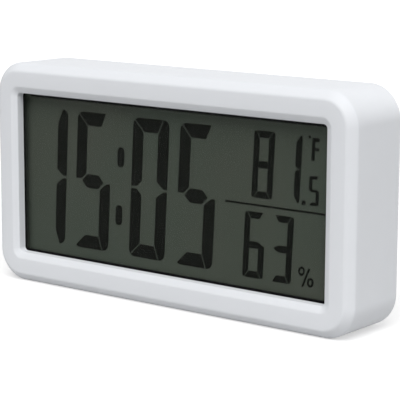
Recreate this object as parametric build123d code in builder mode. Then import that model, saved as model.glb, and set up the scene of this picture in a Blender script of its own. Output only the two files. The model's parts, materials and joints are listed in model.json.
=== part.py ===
from build123d import *
from math import cos, pi, sin, sqrt
import os

os.makedirs("parts", exist_ok=True)

# Digital desk clock with temperature and humidity display, standing on its long edge.
# Millimetres. +Z up, the display faces -Y, +X is to the right for someone reading the display.
# The origin is the centre of the bottom, on the surface that the clock stands on.
# Depths are measured from the front face towards the back, heights from the middle of the case.

# Case
case_width = 160.0
case_height = 82.3
case_corner = 11.8
case_wall = 2.2
front_wall = 2.6
front_chamfer = 2.87
crease_round = 0.6
rear_break = 0.8

# Window opening in the front
side_border = 11.0
end_border = 11.15
opening_corner = 1.5
bevel_reach = 2.4
bevel_depth = 1.15
display_depth = 4.2

# Clearances
seat_gap = 0.3
panel_gap = 0.2
key_gap = 0.15
slip_gap = 0.05
screw_gap = 0.02

# Sides of small round forms, which stay faceted
small_sides = 12
head_sides = 20
ring_sides = 24

# Display stack, from the window back to the main board
window_side_lap = 2.2
window_end_lap = 1.8
window_thickness = 1.2
mask_thickness = 0.3
mask_show = 0.6
mask_top_show = 1.5
polarizer_thickness = 0.2
polarizer_margin = 0.8
glass_thickness = 0.7
glass_margin = 0.2
contact_ledge = 1.6
seat_rib = 1.2
frame_plate = 2.0
frame_edge = 1.0
board_standoff = 2.1
strip_thickness = 1.2
strip_inset = 8.0
strip_gap = 0.1

# Lugs and screws that hold the display frame in the case
lug_height = 18.0
lug_radius = 2.4
frame_screw_shank = 0.9
frame_screw_head = 1.8
frame_screw_head_height = 1.1
frame_screw_length = 4.5

# Main board and what is on it
board_side_inset = 9.3
board_end_inset = 0.3
board_thickness = 1.6
board_screw_side = 5.0
board_screw_end = 6.0
board_screw_inner_x = 20.0
board_screw_length = 4.0
board_post_radius = 2.4
chip_cover_radius = 7.0
chip_cover_height = 1.4
chip_cover_edge = 1.2
chip_rise = 14.7
crystal_radius = 1.5
crystal_length = 8.0
crystal_x = 40.0
crystal_rise = 12.7
reservoir_radius = 2.5
reservoir_height = 4.5
reservoir_x = -40.0
reservoir_rise = 10.7
capacitor_length = 2.0
capacitor_width = 1.25
capacitor_pitch = 6.0
capacitor_count = 6
capacitor_rise = 4.7

# Rear cover
cover_recess = 1.0
cover_thickness = 2.0
cover_screw_side = 17.8
cover_screw_offset = 1.9
cover_boss_radius = 2.5
cover_screw_shank = 1.1
cover_screw_head = 2.2
cover_screw_head_height = 1.2
cover_screw_length = 10.0
recess_width = 0.5
recess_depth = 0.7

# Two AAA cells in the battery bay
cell_radius = 5.25
cell_length = 44.5
cell_nub_radius = 1.9
cell_nub_length = 0.9
cell_spacing = 0.6
cell_gap = 0.3
cell_cover_gap = 0.4
bay_foot_rise = 5.65
bay_gap = 0.3
bay_wall = 1.2
spring_space = 4.5
spring_wire = 0.5
spring_base_radius = 4.0
spring_tip_radius = 2.4
spring_turns = 3
spring_spans = 4
spring_sides = 4
contact_thickness = 0.4
contact_width = 9.0
contact_height = 8.6
contact_tab_width = 3.0
contact_tab_reach = 2.6
spring_gap = 0.02
lead_radius = 0.6
lead_run = 5.5
lead_bend = 1.4

# Battery door
door_thickness = 1.6
door_corner = 1.5
door_tab_width = 6.0
door_tab_spread = 32.0
door_tab_thickness = 1.2
door_tab_reach = 1.6
door_tab_root = 2.0
door_tab_clearance = 4.5
door_latch_width = 10.0
door_latch_slot = 0.8
door_latch_length = 8.0
door_ridge_width = 7.0
door_ridge_size = 0.7
door_ridge_rise = 0.5
door_ridge_pitch = 1.6
door_ridge_count = 3

# Push buttons and their switches
key_names = ["mode", "set", "up", "down", "unit"]
key_pitch = 13.0
key_first_x = -39.0
key_drop = 20.95
key_width = 8.5
key_height = 4.6
key_rise = 0.8
key_edge = 0.4
key_flange = 0.9
key_flange_thickness = 0.8
key_plunger_radius = 1.4
key_plunger_length = 1.0
key_travel = 0.5
switch_size = 6.0
switch_height = 3.5
stem_radius = 1.75
stem_out = 0.8
stem_in = 0.8

# Slide switch and its knob
slide_pitch = 19.0
slide_travel = 2.0
slide_knob_width = 4.0
slide_knob_height = 3.6
slide_knob_rise = 0.6
slide_flange = 1.2
slide_flange_thickness = 0.8
slide_foot_size = 3.0
slide_foot_length = 1.4
slide_body_length = 9.0
slide_body_width = 4.5
slide_body_height = 3.6
slide_lever_size = 1.5
slide_lever_depth = 1.2
slide_lever_grip = 0.9

# Button board
button_board_end = 3.5
button_board_height = 14.0
button_board_thickness = 1.2
key_post_gap = 8.0
slide_post_gap = 15.0
button_post_radius = 2.4
button_screw_length = 5.0
ribbon_x = 22.0
ribbon_width = 10.0
ribbon_thickness = 0.6
ribbon_bend = 1.2
ribbon_edge = 2.5
ribbon_drop = 6.0

# Buzzer
buzzer_side = 23.8
buzzer_rise = 7.0
buzzer_radius = 10.0
buzzer_thickness = 0.25
buzzer_ceramic_radius = 7.0
buzzer_ceramic_thickness = 0.2
buzzer_ledge = 0.9
buzzer_chamber = 2.0
buzzer_ring_wall = 1.4
buzzer_ring_lip = 1.2
sound_hole_radius = 1.0
sound_ring_radius = 4.0
sound_ring_count = 6

# Temperature and humidity sensor
sensor_side = 23.8
sensor_rise = 7.0
sensor_board_width = 16.0
sensor_board_height = 24.0
sensor_board_thickness = 1.0
sensor_post_radius = 2.4
sensor_post_length = 3.5
sensor_post_drop = 9.0
sensor_screw_length = 4.0
humidity_width = 8.0
humidity_height = 6.0
humidity_thickness = 1.6
humidity_rise = 4.0
temperature_radius = 0.9
temperature_length = 4.0
temperature_rise = -2.5
wire_radius = 0.45
wire_sides = 6
wire_bend = 2.0
wire_spread = 3.0
sensor_lead_rise = 5.0
sensor_ribbon_width = 4.0
sensor_ribbon_thickness = 0.9
buzzer_wire_x = 8.5
vent_rise = 4.0
vent_width = 1.4
vent_height = 12.0
vent_pitch = 2.8
vent_count = 6

# Sizes that follow from those above, across the front
cavity_width = case_width - 2 * case_wall
cavity_height = case_height - 2 * case_wall
cavity_corner = case_corner - case_wall
opening_width = case_width - 2 * side_border
opening_height = case_height - 2 * end_border
window_width = opening_width + 2 * window_side_lap
window_height = opening_height + 2 * window_end_lap
seat_width = window_width + 2 * seat_gap
seat_height = window_height + 2 * seat_gap
seat_outer_width = seat_width + 2 * seat_rib
seat_outer_height = seat_height + 2 * seat_rib
glass_width = window_width - 2 * glass_margin
glass_height = window_height - 2 * glass_margin
rear_glass_height = glass_height - 2 * contact_ledge
strip_z = rear_glass_height / 2 + contact_ledge / 2
lug_x = cavity_width / 2 - lug_radius
frame_width = seat_outer_width - 2 * frame_edge + seat_rib
frame_height = seat_outer_height - 2 * frame_edge
lug_bridge = lug_x - frame_width / 2 + lug_radius
board_width = frame_width - 2 * board_side_inset
board_height = frame_height - 2 * board_end_inset
strip_length = board_width - 2 * strip_inset
board_screw_x = board_width / 2 - board_screw_side
board_screw_z = board_height / 2 - board_screw_end
cover_screw_x = cavity_width / 2 - cover_screw_side
cover_screw_z = seat_outer_height / 2 + cover_screw_offset

# Depths, from the display back to the rear edge of the case
mask_depth = display_depth + window_thickness
polarizer_depth = mask_depth + mask_thickness
front_glass_depth = polarizer_depth + polarizer_thickness
rear_glass_depth = front_glass_depth + glass_thickness
rear_polarizer_depth = rear_glass_depth + glass_thickness
frame_depth = rear_polarizer_depth + polarizer_thickness
board_depth = frame_depth + frame_plate + board_standoff
board_back = board_depth + board_thickness
bay_front_depth = board_back + bay_gap
bay_floor_depth = bay_front_depth + bay_wall
cell_depth = bay_floor_depth + cell_gap + cell_radius
door_inner_depth = cell_depth + cell_radius + cell_cover_gap
cover_outer_depth = door_inner_depth + door_thickness
cover_inner_depth = cover_outer_depth - cover_thickness
case_depth = cover_outer_depth + cover_recess

# Battery bay and door
cell_pitch = 2 * cell_radius + cell_spacing
bay_length = cell_length + spring_space + 2 * contact_thickness
bay_height = cell_pitch + 2 * cell_radius + 2 * cell_gap
door_space_width = bay_length + 2 * bay_wall
door_space_height = bay_height + 2 * bay_wall
door_foot_z = bay_foot_rise - cavity_height / 2
door_pivot_z = door_foot_z + door_space_height
bay_middle_z = door_foot_z + door_space_height / 2
upper_cell_z = bay_middle_z + cell_pitch / 2
lower_cell_z = bay_middle_z - cell_pitch / 2
door_tab_depth = cover_inner_depth - seat_gap - door_tab_thickness
door_tab_places = [(way * door_tab_spread / 2, door_pivot_z - door_tab_root) for way in (-1, 1)]
spring_height = spring_space - spring_wire - 2 * spring_gap
contact_tab_level = cell_depth - contact_width / 2

# Buttons and slide switch, from the cover inwards
key_z = cavity_height / 2 - key_drop
key_places = [key_first_x + index * key_pitch for index in range(len(key_names))]
slide_x = key_places[-1] + slide_pitch
slide_rest_x = slide_x - slide_travel / 2
key_flange_depth = cover_inner_depth - slip_gap - key_flange_thickness
stem_top_depth = key_flange_depth - key_plunger_length
switch_top_depth = stem_top_depth - stem_out
button_board_back = switch_top_depth - switch_height
button_board_depth = button_board_back - button_board_thickness
slide_flange_depth = cover_inner_depth - slip_gap - slide_flange_thickness
slide_body_top = button_board_back + slide_body_height
slide_foot_depth = slide_flange_depth - slide_foot_length
button_left_x = key_first_x - key_post_gap
button_right_x = slide_x + slide_post_gap
button_board_x = (button_left_x + button_right_x) / 2
button_board_width = button_right_x - button_left_x + 2 * button_board_end

# Places on the boards and beside the bay
chip_z = door_pivot_z + chip_rise
crystal_z = door_pivot_z + crystal_rise
reservoir_z = door_pivot_z + reservoir_rise
capacitor_z = door_pivot_z + capacitor_rise
ribbon_high_z = key_z - button_board_height / 2 + ribbon_edge
ribbon_low_z = ribbon_high_z - ribbon_drop
ribbon_turn_depth = (board_back + button_board_depth) / 2
buzzer_x = buzzer_side - cavity_width / 2
buzzer_z = bay_middle_z + buzzer_rise
buzzer_depth = cover_inner_depth - buzzer_chamber
ceramic_depth = buzzer_depth - buzzer_thickness
sensor_x = cavity_width / 2 - sensor_side
sensor_z = bay_middle_z + sensor_rise
sensor_board_back = cover_inner_depth - sensor_post_length
sensor_board_depth = sensor_board_back - sensor_board_thickness
sensor_post_place = (sensor_x, sensor_z - sensor_post_drop)
sensor_lead_z = sensor_z + sensor_lead_rise

# Screw places
sides = (-1, 1)
cover_screw_places = [(side * cover_screw_x, end * cover_screw_z) for side in sides for end in sides]
lug_places = [(side * lug_x, end * lug_height) for side in sides for end in sides]
board_screw_places = [(side * board_screw_x, end * board_screw_z) for side in sides for end in sides]
board_screw_places += [(side * board_screw_inner_x, board_screw_z) for side in sides]
button_post_places = [(button_left_x, key_z), (button_right_x, key_z)]


def level(depth):
    """Plane parallel to the front face, at a depth behind it: x to the right, y up from the case's middle."""
    return Plane(
        origin=(0, depth - case_depth / 2, case_height / 2),
        x_dir=(1, 0, 0),
        z_dir=(0, -1, 0),
    )


def spot(x, depth, z):
    """Point in the part's frame, from a place in the front view and a depth behind the front face."""
    return Vector(x, depth - case_depth / 2, z + case_height / 2)


def small_round(radius, mode=Mode.ADD):
    """Section of a small post, pin or hole. They all face the same way, so each fits into the next."""
    return RegularPolygon(radius, small_sides, mode=mode)


def screw_group(places, head_depth, head_radius, head_height, shank_radius, length, forward, flush):
    """Screws with heads at one depth, driven forward or back. Flush heads show, so they have a recess."""
    way = 1 if forward else -1
    with BuildPart() as screws:
        with BuildSketch(level(head_depth)):
            with Locations(*places):
                RegularPolygon(head_radius, head_sides if flush else small_sides)
        if flush:
            extrude(amount=way * head_height, taper=45)
        else:
            extrude(amount=-way * head_height)
        with BuildSketch(level(head_depth)):
            with Locations(*places):
                small_round(shank_radius)
        extrude(amount=way * length)
        if flush:
            with BuildSketch(level(head_depth)):
                with Locations(*places):
                    Rectangle(head_radius, recess_width)
                    Rectangle(recess_width, head_radius)
            extrude(amount=way * recess_depth, mode=Mode.SUBTRACT)
    return screws


def end_plane(x, z):
    """Plane across the cells: x back from the cells' axes, y up from a height."""
    return Plane(origin=spot(x, cell_depth, z), x_dir=(0, 1, 0), z_dir=(1, 0, 0))


def wire_route(x, depth, z):
    """Route of a short wire from a soldered end straight to the main board, with one sideways step."""
    middle = (depth + board_back) / 2
    return [
        spot(x, depth, z),
        spot(x, middle, z),
        spot(x, middle, z + 2 * wire_bend),
        spot(x, board_back, z + 2 * wire_bend),
    ]


def wire_group(routes, radius, bend):
    """Insulated wires, each along straight runs joined by arcs."""
    with BuildPart() as wires:
        for route in routes:
            with BuildLine() as path:
                FilletPolyline(*route, radius=bend)
            with BuildSketch(Plane(origin=path.line @ 0, z_dir=path.line % 0)):
                RegularPolygon(radius, wire_sides)
            sweep(path=path.line)
    return wires


def coil_places(plane, base_radius, tip_radius, height):
    """Points on a conical coil from its base on the plane, a span apart, each with its direction."""
    full_angle = 2 * pi * spring_turns
    inward = (tip_radius - base_radius) / full_angle
    climb = height / full_angle
    places = []
    for index in range(spring_turns * spring_spans + 1):
        angle = 2 * pi * index / spring_spans
        radius = base_radius + inward * angle
        across = plane.x_dir * cos(angle) + plane.y_dir * sin(angle)
        along = plane.y_dir * cos(angle) - plane.x_dir * sin(angle)
        point = plane.origin + across * radius + plane.z_dir * (climb * angle)
        direction = across * inward + along * radius + plane.z_dir * climb
        places.append((point, direction.normalized()))
    return places


def tangent_arc_pair(start, start_way, end, end_way):
    """Two arcs that join smoothly halfway and leave both ends in the given directions."""
    chord = end - start
    both = start_way + end_way
    turn = 2 * (1 - start_way.dot(end_way))
    reach = (sqrt(chord.dot(both) ** 2 + turn * chord.dot(chord)) - chord.dot(both)) / turn
    first_corner = start + start_way * reach
    last_corner = end - end_way * reach
    joint = (first_corner + last_corner) * (1 / 2)
    TangentArc(start, joint, tangent=start_way)
    TangentArc(joint, end, tangent=last_corner - first_corner)


# Front housing: deep shell, chamfered front, bevelled opening, seat for the display and screw bosses
with BuildPart() as front_housing:
    with BuildSketch(level(0)):
        RectangleRounded(case_width, case_height, case_corner)
    extrude(amount=-case_depth)
    chamfer(front_housing.faces().sort_by(Axis.Y)[0].edges(), length=front_chamfer)
    fillet(front_housing.faces().sort_by(Axis.Y)[0].edges(), radius=crease_round)
    chamfer(front_housing.faces().sort_by(Axis.Y)[-1].edges(), length=rear_break)
    with BuildSketch(level(front_wall)):
        RectangleRounded(cavity_width, cavity_height, cavity_corner)
    extrude(amount=-case_depth, mode=Mode.SUBTRACT)
    with BuildSketch(level(front_wall)):
        Rectangle(seat_outer_width, seat_outer_height)
    extrude(amount=front_wall - frame_depth)
    with BuildSketch(level(front_wall)):
        with Locations(*cover_screw_places):
            small_round(cover_boss_radius)
    extrude(amount=front_wall - cover_inner_depth)
    with BuildSketch(level(front_wall)):
        with Locations(*lug_places):
            small_round(lug_radius)
    extrude(amount=front_wall - frame_depth)
    with BuildSketch(level(display_depth)):
        Rectangle(seat_width, seat_height)
    extrude(amount=display_depth - frame_depth, mode=Mode.SUBTRACT)
    with BuildSketch(level(0)):
        RectangleRounded(opening_width, opening_height, opening_corner)
    extrude(amount=-display_depth, mode=Mode.SUBTRACT)
    with BuildSketch(level(0)):
        RectangleRounded(
            opening_width + 2 * bevel_reach,
            opening_height + 2 * bevel_reach,
            opening_corner + bevel_reach,
        )
    with BuildSketch(level(bevel_depth)):
        RectangleRounded(opening_width, opening_height, opening_corner)
    loft(ruled=True, mode=Mode.SUBTRACT)
    with BuildSketch(level(cover_inner_depth)):
        with Locations(*cover_screw_places):
            small_round(cover_screw_shank + screw_gap)
    extrude(amount=cover_screw_length, mode=Mode.SUBTRACT)
    with BuildSketch(level(frame_depth)):
        with Locations(*lug_places):
            small_round(frame_screw_shank + screw_gap)
    extrude(amount=frame_depth - display_depth, mode=Mode.SUBTRACT)
front_housing.part.label = "front_housing"
export_step(front_housing.part, "parts/front_housing.step")

# Clear window, pressed against the back of the opening
with BuildPart() as display_window:
    with BuildSketch(level(display_depth)):
        Rectangle(window_width, window_height)
    extrude(amount=-window_thickness)
display_window.part.label = "display_window"
export_step(display_window.part, "parts/display_window.step")

# Black frame between the window and the display, which shows as a thin dark line
with BuildPart() as window_mask:
    with BuildSketch(level(mask_depth)):
        Rectangle(window_width, window_height)
        with Locations((0, (mask_show - mask_top_show) / 2)):
            RectangleRounded(
                opening_width - 2 * mask_show,
                opening_height - mask_show - mask_top_show,
                opening_corner,
                mode=Mode.SUBTRACT,
            )
    extrude(amount=-mask_thickness)
window_mask.part.label = "window_mask"
export_step(window_mask.part, "parts/window_mask.step")

# Front polarizer film
with BuildPart() as front_polarizer:
    with BuildSketch(level(polarizer_depth)):
        Rectangle(glass_width - polarizer_margin, glass_height - polarizer_margin)
    extrude(amount=-polarizer_thickness)
front_polarizer.part.label = "front_polarizer"
export_step(front_polarizer.part, "parts/front_polarizer.step")

# Front glass of the display, whose upper and lower ledges carry the contacts
with BuildPart() as lcd_front_glass:
    with BuildSketch(level(front_glass_depth)):
        Rectangle(glass_width, glass_height)
    extrude(amount=-glass_thickness)
lcd_front_glass.part.label = "lcd_front_glass"
export_step(lcd_front_glass.part, "parts/lcd_front_glass.step")

# Rear glass of the display, shorter by the two contact ledges
with BuildPart() as lcd_rear_glass:
    with BuildSketch(level(rear_glass_depth)):
        Rectangle(glass_width, rear_glass_height)
    extrude(amount=-glass_thickness)
lcd_rear_glass.part.label = "lcd_rear_glass"
export_step(lcd_rear_glass.part, "parts/lcd_rear_glass.step")

# Rear polarizer with the reflecting layer
with BuildPart() as rear_polarizer:
    with BuildSketch(level(rear_polarizer_depth)):
        Rectangle(glass_width - polarizer_margin, rear_glass_height - polarizer_margin)
    extrude(amount=-polarizer_thickness)
rear_polarizer.part.label = "rear_polarizer"
export_step(rear_polarizer.part, "parts/rear_polarizer.step")

# Display frame: presses the display into its seat and carries the main board on posts
with BuildPart() as lcd_frame:
    with BuildSketch(level(frame_depth)):
        Rectangle(frame_width, frame_height)
        with Locations(*lug_places):
            small_round(lug_radius)
        with Locations((-lug_x, -lug_height), (-lug_x, lug_height)):
            Rectangle(lug_bridge, 2 * lug_radius, align=(Align.MIN, Align.CENTER))
        with Locations((lug_x, -lug_height), (lug_x, lug_height)):
            Rectangle(lug_bridge, 2 * lug_radius, align=(Align.MAX, Align.CENTER))
        with Locations((0, -strip_z), (0, strip_z)):
            Rectangle(strip_length + 2 * strip_gap, strip_thickness + 2 * strip_gap, mode=Mode.SUBTRACT)
        with Locations(*lug_places):
            small_round(frame_screw_shank + screw_gap, mode=Mode.SUBTRACT)
    extrude(amount=-frame_plate)
    with BuildSketch(level(frame_depth + frame_plate)):
        with Locations(*board_screw_places):
            small_round(board_post_radius)
    extrude(amount=-board_standoff)
    with BuildSketch(level(board_depth)):
        with Locations(*board_screw_places):
            small_round(frame_screw_shank + screw_gap)
    extrude(amount=board_standoff + frame_plate / 2, mode=Mode.SUBTRACT)
lcd_frame.part.label = "lcd_frame"
export_step(lcd_frame.part, "parts/lcd_frame.step")

lcd_frame_screws = screw_group(
    lug_places, frame_depth + frame_plate, frame_screw_head, frame_screw_head_height,
    frame_screw_shank, frame_screw_length, True, False,
)
lcd_frame_screws.part.label = "lcd_frame_screws"
export_step(lcd_frame_screws.part, "parts/lcd_frame_screws.step")

# Rubber contact strips from the glass ledges to the main board
for strip_name, strip_place in (("lower_contact_strip", -strip_z), ("upper_contact_strip", strip_z)):
    with BuildPart() as contact_strip:
        with BuildSketch(level(rear_glass_depth)):
            with Locations((0, strip_place)):
                Rectangle(strip_length, strip_thickness)
        extrude(amount=rear_glass_depth - board_depth)
    contact_strip.part.label = strip_name
    export_step(contact_strip.part, f"parts/{strip_name}.step")

# Main board
with BuildPart() as main_board:
    with BuildSketch(level(board_depth)):
        Rectangle(board_width, board_height)
        with Locations(*board_screw_places):
            small_round(frame_screw_shank + slip_gap, mode=Mode.SUBTRACT)
    extrude(amount=-board_thickness)
main_board.part.label = "main_board"
export_step(main_board.part, "parts/main_board.step")

main_board_screws = screw_group(
    board_screw_places, board_back, frame_screw_head, frame_screw_head_height,
    frame_screw_shank, board_screw_length, True, False,
)
main_board_screws.part.label = "main_board_screws"
export_step(main_board_screws.part, "parts/main_board_screws.step")

# Resin dome over the controller chip
with BuildPart() as chip_cover:
    with BuildSketch(level(board_back)):
        with Locations((0, chip_z)):
            Circle(chip_cover_radius)
    extrude(amount=-chip_cover_height)
    chamfer(chip_cover.faces().sort_by(Axis.Y)[-1].edges(), length=chip_cover_edge)
chip_cover.part.label = "chip_cover"
export_step(chip_cover.part, "parts/chip_cover.step")

# Watch crystal in its can, lying on the board
with BuildPart() as clock_crystal:
    with BuildSketch(Plane(origin=spot(crystal_x, board_back + crystal_radius, crystal_z), z_dir=(1, 0, 0))):
        small_round(crystal_radius)
    extrude(amount=crystal_length)
clock_crystal.part.label = "clock_crystal"
export_step(clock_crystal.part, "parts/clock_crystal.step")

# Small ceramic capacitors in a row below the chip
with BuildPart() as board_capacitors:
    with BuildSketch(level(board_back)):
        with Locations((0, capacitor_z)):
            with GridLocations(capacitor_pitch, capacitor_pitch, capacitor_count, 1):
                Rectangle(capacitor_length, capacitor_width)
    extrude(amount=-capacitor_width)
board_capacitors.part.label = "board_capacitors"
export_step(board_capacitors.part, "parts/board_capacitors.step")

# Reservoir capacitor standing on the board
with BuildPart() as reservoir_capacitor:
    with BuildSketch(level(board_back)):
        with Locations((reservoir_x, reservoir_z)):
            Circle(reservoir_radius)
    extrude(amount=-reservoir_height)
reservoir_capacitor.part.label = "reservoir_capacitor"
export_step(reservoir_capacitor.part, "parts/reservoir_capacitor.step")

# Rear cover: inset plate with the battery bay, button holes, posts, buzzer ring and vents
with BuildPart() as rear_cover:
    with BuildSketch(level(cover_inner_depth)):
        RectangleRounded(
            cavity_width - 2 * panel_gap,
            cavity_height - 2 * panel_gap,
            cavity_corner - panel_gap,
        )
    extrude(amount=-cover_thickness)
    with BuildSketch(level(bay_front_depth)):
        with Locations((0, bay_middle_z)):
            Rectangle(door_space_width, door_space_height)
    extrude(amount=bay_front_depth - cover_inner_depth)
    with BuildSketch(level(bay_floor_depth)):
        with Locations((0, bay_middle_z)):
            Rectangle(bay_length, bay_height)
    extrude(amount=bay_floor_depth - cover_outer_depth, mode=Mode.SUBTRACT)
    with BuildSketch(level(door_inner_depth)):
        with Locations((0, bay_middle_z)):
            RectangleRounded(door_space_width, door_space_height, door_corner)
    extrude(amount=door_inner_depth - cover_outer_depth, mode=Mode.SUBTRACT)
    with BuildSketch(level(cover_outer_depth - door_tab_clearance)):
        with Locations((-door_tab_spread / 2, door_pivot_z), (door_tab_spread / 2, door_pivot_z)):
            Rectangle(door_tab_width + 2 * seat_gap, 2 * bay_wall, align=(Align.CENTER, Align.MAX))
    extrude(amount=door_thickness - door_tab_clearance, mode=Mode.SUBTRACT)
    with BuildSketch(level(contact_tab_level - key_gap)):
        with Locations((0, upper_cell_z), (0, lower_cell_z)):
            Rectangle(
                door_space_width / 2,
                contact_tab_width + 2 * key_gap,
                align=(Align.MAX, Align.CENTER),
            )
    extrude(amount=-contact_thickness - 2 * key_gap, mode=Mode.SUBTRACT)
    with BuildSketch(level(button_board_back)):
        with Locations(*button_post_places):
            small_round(button_post_radius)
    extrude(amount=button_board_back - cover_inner_depth)
    with BuildSketch(level(button_board_back)):
        with Locations(*button_post_places):
            small_round(frame_screw_shank + screw_gap)
    extrude(amount=-button_screw_length, mode=Mode.SUBTRACT)
    with BuildSketch(level(sensor_board_back)):
        with Locations(sensor_post_place):
            small_round(sensor_post_radius)
    extrude(amount=sensor_board_back - cover_inner_depth)
    with BuildSketch(level(sensor_board_back)):
        with Locations(sensor_post_place):
            small_round(frame_screw_shank + screw_gap)
    extrude(amount=-sensor_screw_length, mode=Mode.SUBTRACT)
    with BuildSketch(level(buzzer_depth - buzzer_ring_lip)):
        with Locations((buzzer_x, buzzer_z)):
            RegularPolygon(buzzer_radius + key_gap + buzzer_ring_wall, ring_sides)
            RegularPolygon(buzzer_radius + key_gap, ring_sides, mode=Mode.SUBTRACT)
    extrude(amount=-(buzzer_ring_lip + buzzer_chamber))
    with BuildSketch(level(buzzer_depth)):
        with Locations((buzzer_x, buzzer_z)):
            RegularPolygon(buzzer_radius + key_gap + buzzer_ring_wall / 2, ring_sides)
            RegularPolygon(buzzer_radius - buzzer_ledge, ring_sides, mode=Mode.SUBTRACT)
    extrude(amount=-buzzer_chamber)
    with BuildSketch(level(cover_inner_depth)):
        with Locations(*[(x, key_z) for x in key_places]):
            SlotOverall(key_width + 2 * key_gap, key_height + 2 * key_gap)
        with Locations((slide_x, key_z)):
            Rectangle(slide_knob_width + slide_travel + 2 * key_gap, slide_knob_height + 2 * key_gap)
        with Locations((buzzer_x, buzzer_z)):
            small_round(sound_hole_radius)
            with PolarLocations(sound_ring_radius, sound_ring_count):
                small_round(sound_hole_radius)
        with Locations((sensor_x, sensor_z + vent_rise)):
            with GridLocations(vent_pitch, vent_height, vent_count, 1):
                Rectangle(vent_width, vent_height)
    extrude(amount=-cover_thickness, mode=Mode.SUBTRACT)
    with BuildSketch(level(cover_outer_depth)):
        with Locations(*cover_screw_places):
            RegularPolygon(cover_screw_head + screw_gap, head_sides)
    extrude(amount=cover_screw_head_height, taper=45, mode=Mode.SUBTRACT)
    with BuildSketch(level(cover_inner_depth)):
        with Locations(*cover_screw_places):
            small_round(cover_screw_shank + screw_gap)
    extrude(amount=-cover_thickness, mode=Mode.SUBTRACT)
rear_cover.part.label = "rear_cover"
export_step(rear_cover.part, "parts/rear_cover.step")

cover_screws = screw_group(
    cover_screw_places, cover_outer_depth, cover_screw_head, cover_screw_head_height,
    cover_screw_shank, cover_screw_length, True, True,
)
cover_screws.part.label = "cover_screws"
export_step(cover_screws.part, "parts/cover_screws.step")

# Battery door: plate with two pivot tabs at the top, and a latch tongue with finger ridges at the bottom
with BuildPart() as battery_door:
    with BuildSketch(level(door_inner_depth)):
        with Locations((0, bay_middle_z)):
            RectangleRounded(
                door_space_width - 2 * seat_gap,
                door_space_height - 2 * seat_gap,
                door_corner - seat_gap,
            )
        with Locations(
            (-(door_latch_width + door_latch_slot) / 2, door_foot_z),
            ((door_latch_width + door_latch_slot) / 2, door_foot_z),
        ):
            Rectangle(
                door_latch_slot,
                2 * door_latch_length,
                mode=Mode.SUBTRACT,
            )
    extrude(amount=-door_thickness)
    with BuildSketch(level(door_inner_depth)):
        with Locations(*door_tab_places):
            Rectangle(door_tab_width, door_tab_root - seat_gap, align=(Align.CENTER, Align.MIN))
    extrude(amount=door_inner_depth - door_tab_depth)
    with BuildSketch(level(door_tab_depth)):
        with Locations(*door_tab_places):
            Rectangle(door_tab_width, door_tab_root + door_tab_reach, align=(Align.CENTER, Align.MIN))
    extrude(amount=-door_tab_thickness)
    with BuildSketch(level(cover_outer_depth)):
        with Locations((0, door_foot_z + door_latch_length / 2)):
            with GridLocations(door_ridge_width, door_ridge_pitch, 1, door_ridge_count):
                Rectangle(door_ridge_width, door_ridge_size)
    extrude(amount=-door_ridge_rise)
battery_door.part.label = "battery_door"
export_step(battery_door.part, "parts/battery_door.step")

# Two AAA cells, lying side by side and facing opposite ways
for cell_name, cell_z, way in (("upper_battery", upper_cell_z, 1), ("lower_battery", lower_cell_z, -1)):
    cell_plane = Plane(
        origin=spot(way * (contact_thickness - bay_length / 2), cell_depth, cell_z),
        x_dir=(0, 1, 0),
        z_dir=(way, 0, 0),
    )
    with BuildPart() as battery:
        with BuildSketch(cell_plane.offset(cell_nub_length)):
            Circle(cell_radius)
        extrude(amount=cell_length - cell_nub_length)
        with BuildSketch(cell_plane):
            small_round(cell_nub_radius)
        extrude(amount=cell_nub_length)
    battery.part.label = cell_name
    export_step(battery.part, f"parts/{cell_name}.step")

# Contact plates with solder tabs at the bay's left end
for contact_name, contact_z in (("positive_contact", upper_cell_z), ("negative_contact", lower_cell_z)):
    with BuildPart() as contact:
        with BuildSketch(end_plane(-bay_length / 2, contact_z)):
            Rectangle(contact_width, contact_height)
        extrude(amount=contact_thickness)
        with BuildSketch(level(contact_tab_level)):
            with Locations((contact_thickness - bay_length / 2, contact_z)):
                Rectangle(
                    contact_thickness + contact_tab_reach,
                    contact_tab_width,
                    align=(Align.MAX, Align.CENTER),
                )
        extrude(amount=-contact_thickness)
    contact.part.label = contact_name
    export_step(contact.part, f"parts/{contact_name}.step")

# Plate at the right end that joins the two cells in series
with BuildPart() as bridge_contact:
    with BuildSketch(end_plane(bay_length / 2 - contact_thickness, bay_middle_z)):
        Rectangle(contact_width, contact_height + cell_pitch)
    extrude(amount=contact_thickness)
bridge_contact.part.label = "bridge_contact"
export_step(bridge_contact.part, "parts/bridge_contact.step")

# Conical contact springs that press on the flat end of each cell
for spring_name, spring_z, way in (("upper_spring", upper_cell_z, -1), ("lower_spring", lower_cell_z, 1)):
    spring_foot = bay_length / 2 - contact_thickness - spring_wire / 2 - spring_gap
    spring_plane = Plane(
        origin=spot(-way * spring_foot, cell_depth, spring_z),
        x_dir=(0, 1, 0),
        z_dir=(way, 0, 0),
    )
    places = coil_places(spring_plane, spring_base_radius, spring_tip_radius, spring_height)
    with BuildPart() as spring:
        with BuildLine() as coil:
            for (start, start_way), (end, end_way) in zip(places, places[1:]):
                tangent_arc_pair(start, start_way, end, end_way)
        with BuildSketch(Plane(origin=coil.wire() @ 0, z_dir=coil.wire() % 0)):
            RegularPolygon(spring_wire / 2, spring_sides)
        sweep(path=coil.wire())
    spring.part.label = spring_name
    export_step(spring.part, f"parts/{spring_name}.step")

# Leads from the contact tabs to the main board
for lead_name, lead_z in (("positive_lead", upper_cell_z), ("negative_lead", lower_cell_z)):
    lead_start = -bay_length / 2 - contact_tab_reach
    lead_depth = contact_tab_level + contact_thickness / 2
    battery_lead = wire_group(
        [[
            spot(lead_start, lead_depth, lead_z),
            spot(lead_start - lead_run, lead_depth, lead_z),
            spot(lead_start - lead_run, board_back, lead_z),
        ]],
        lead_radius,
        lead_bend,
    )
    battery_lead.part.label = lead_name
    export_step(battery_lead.part, f"parts/{lead_name}.step")

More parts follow.
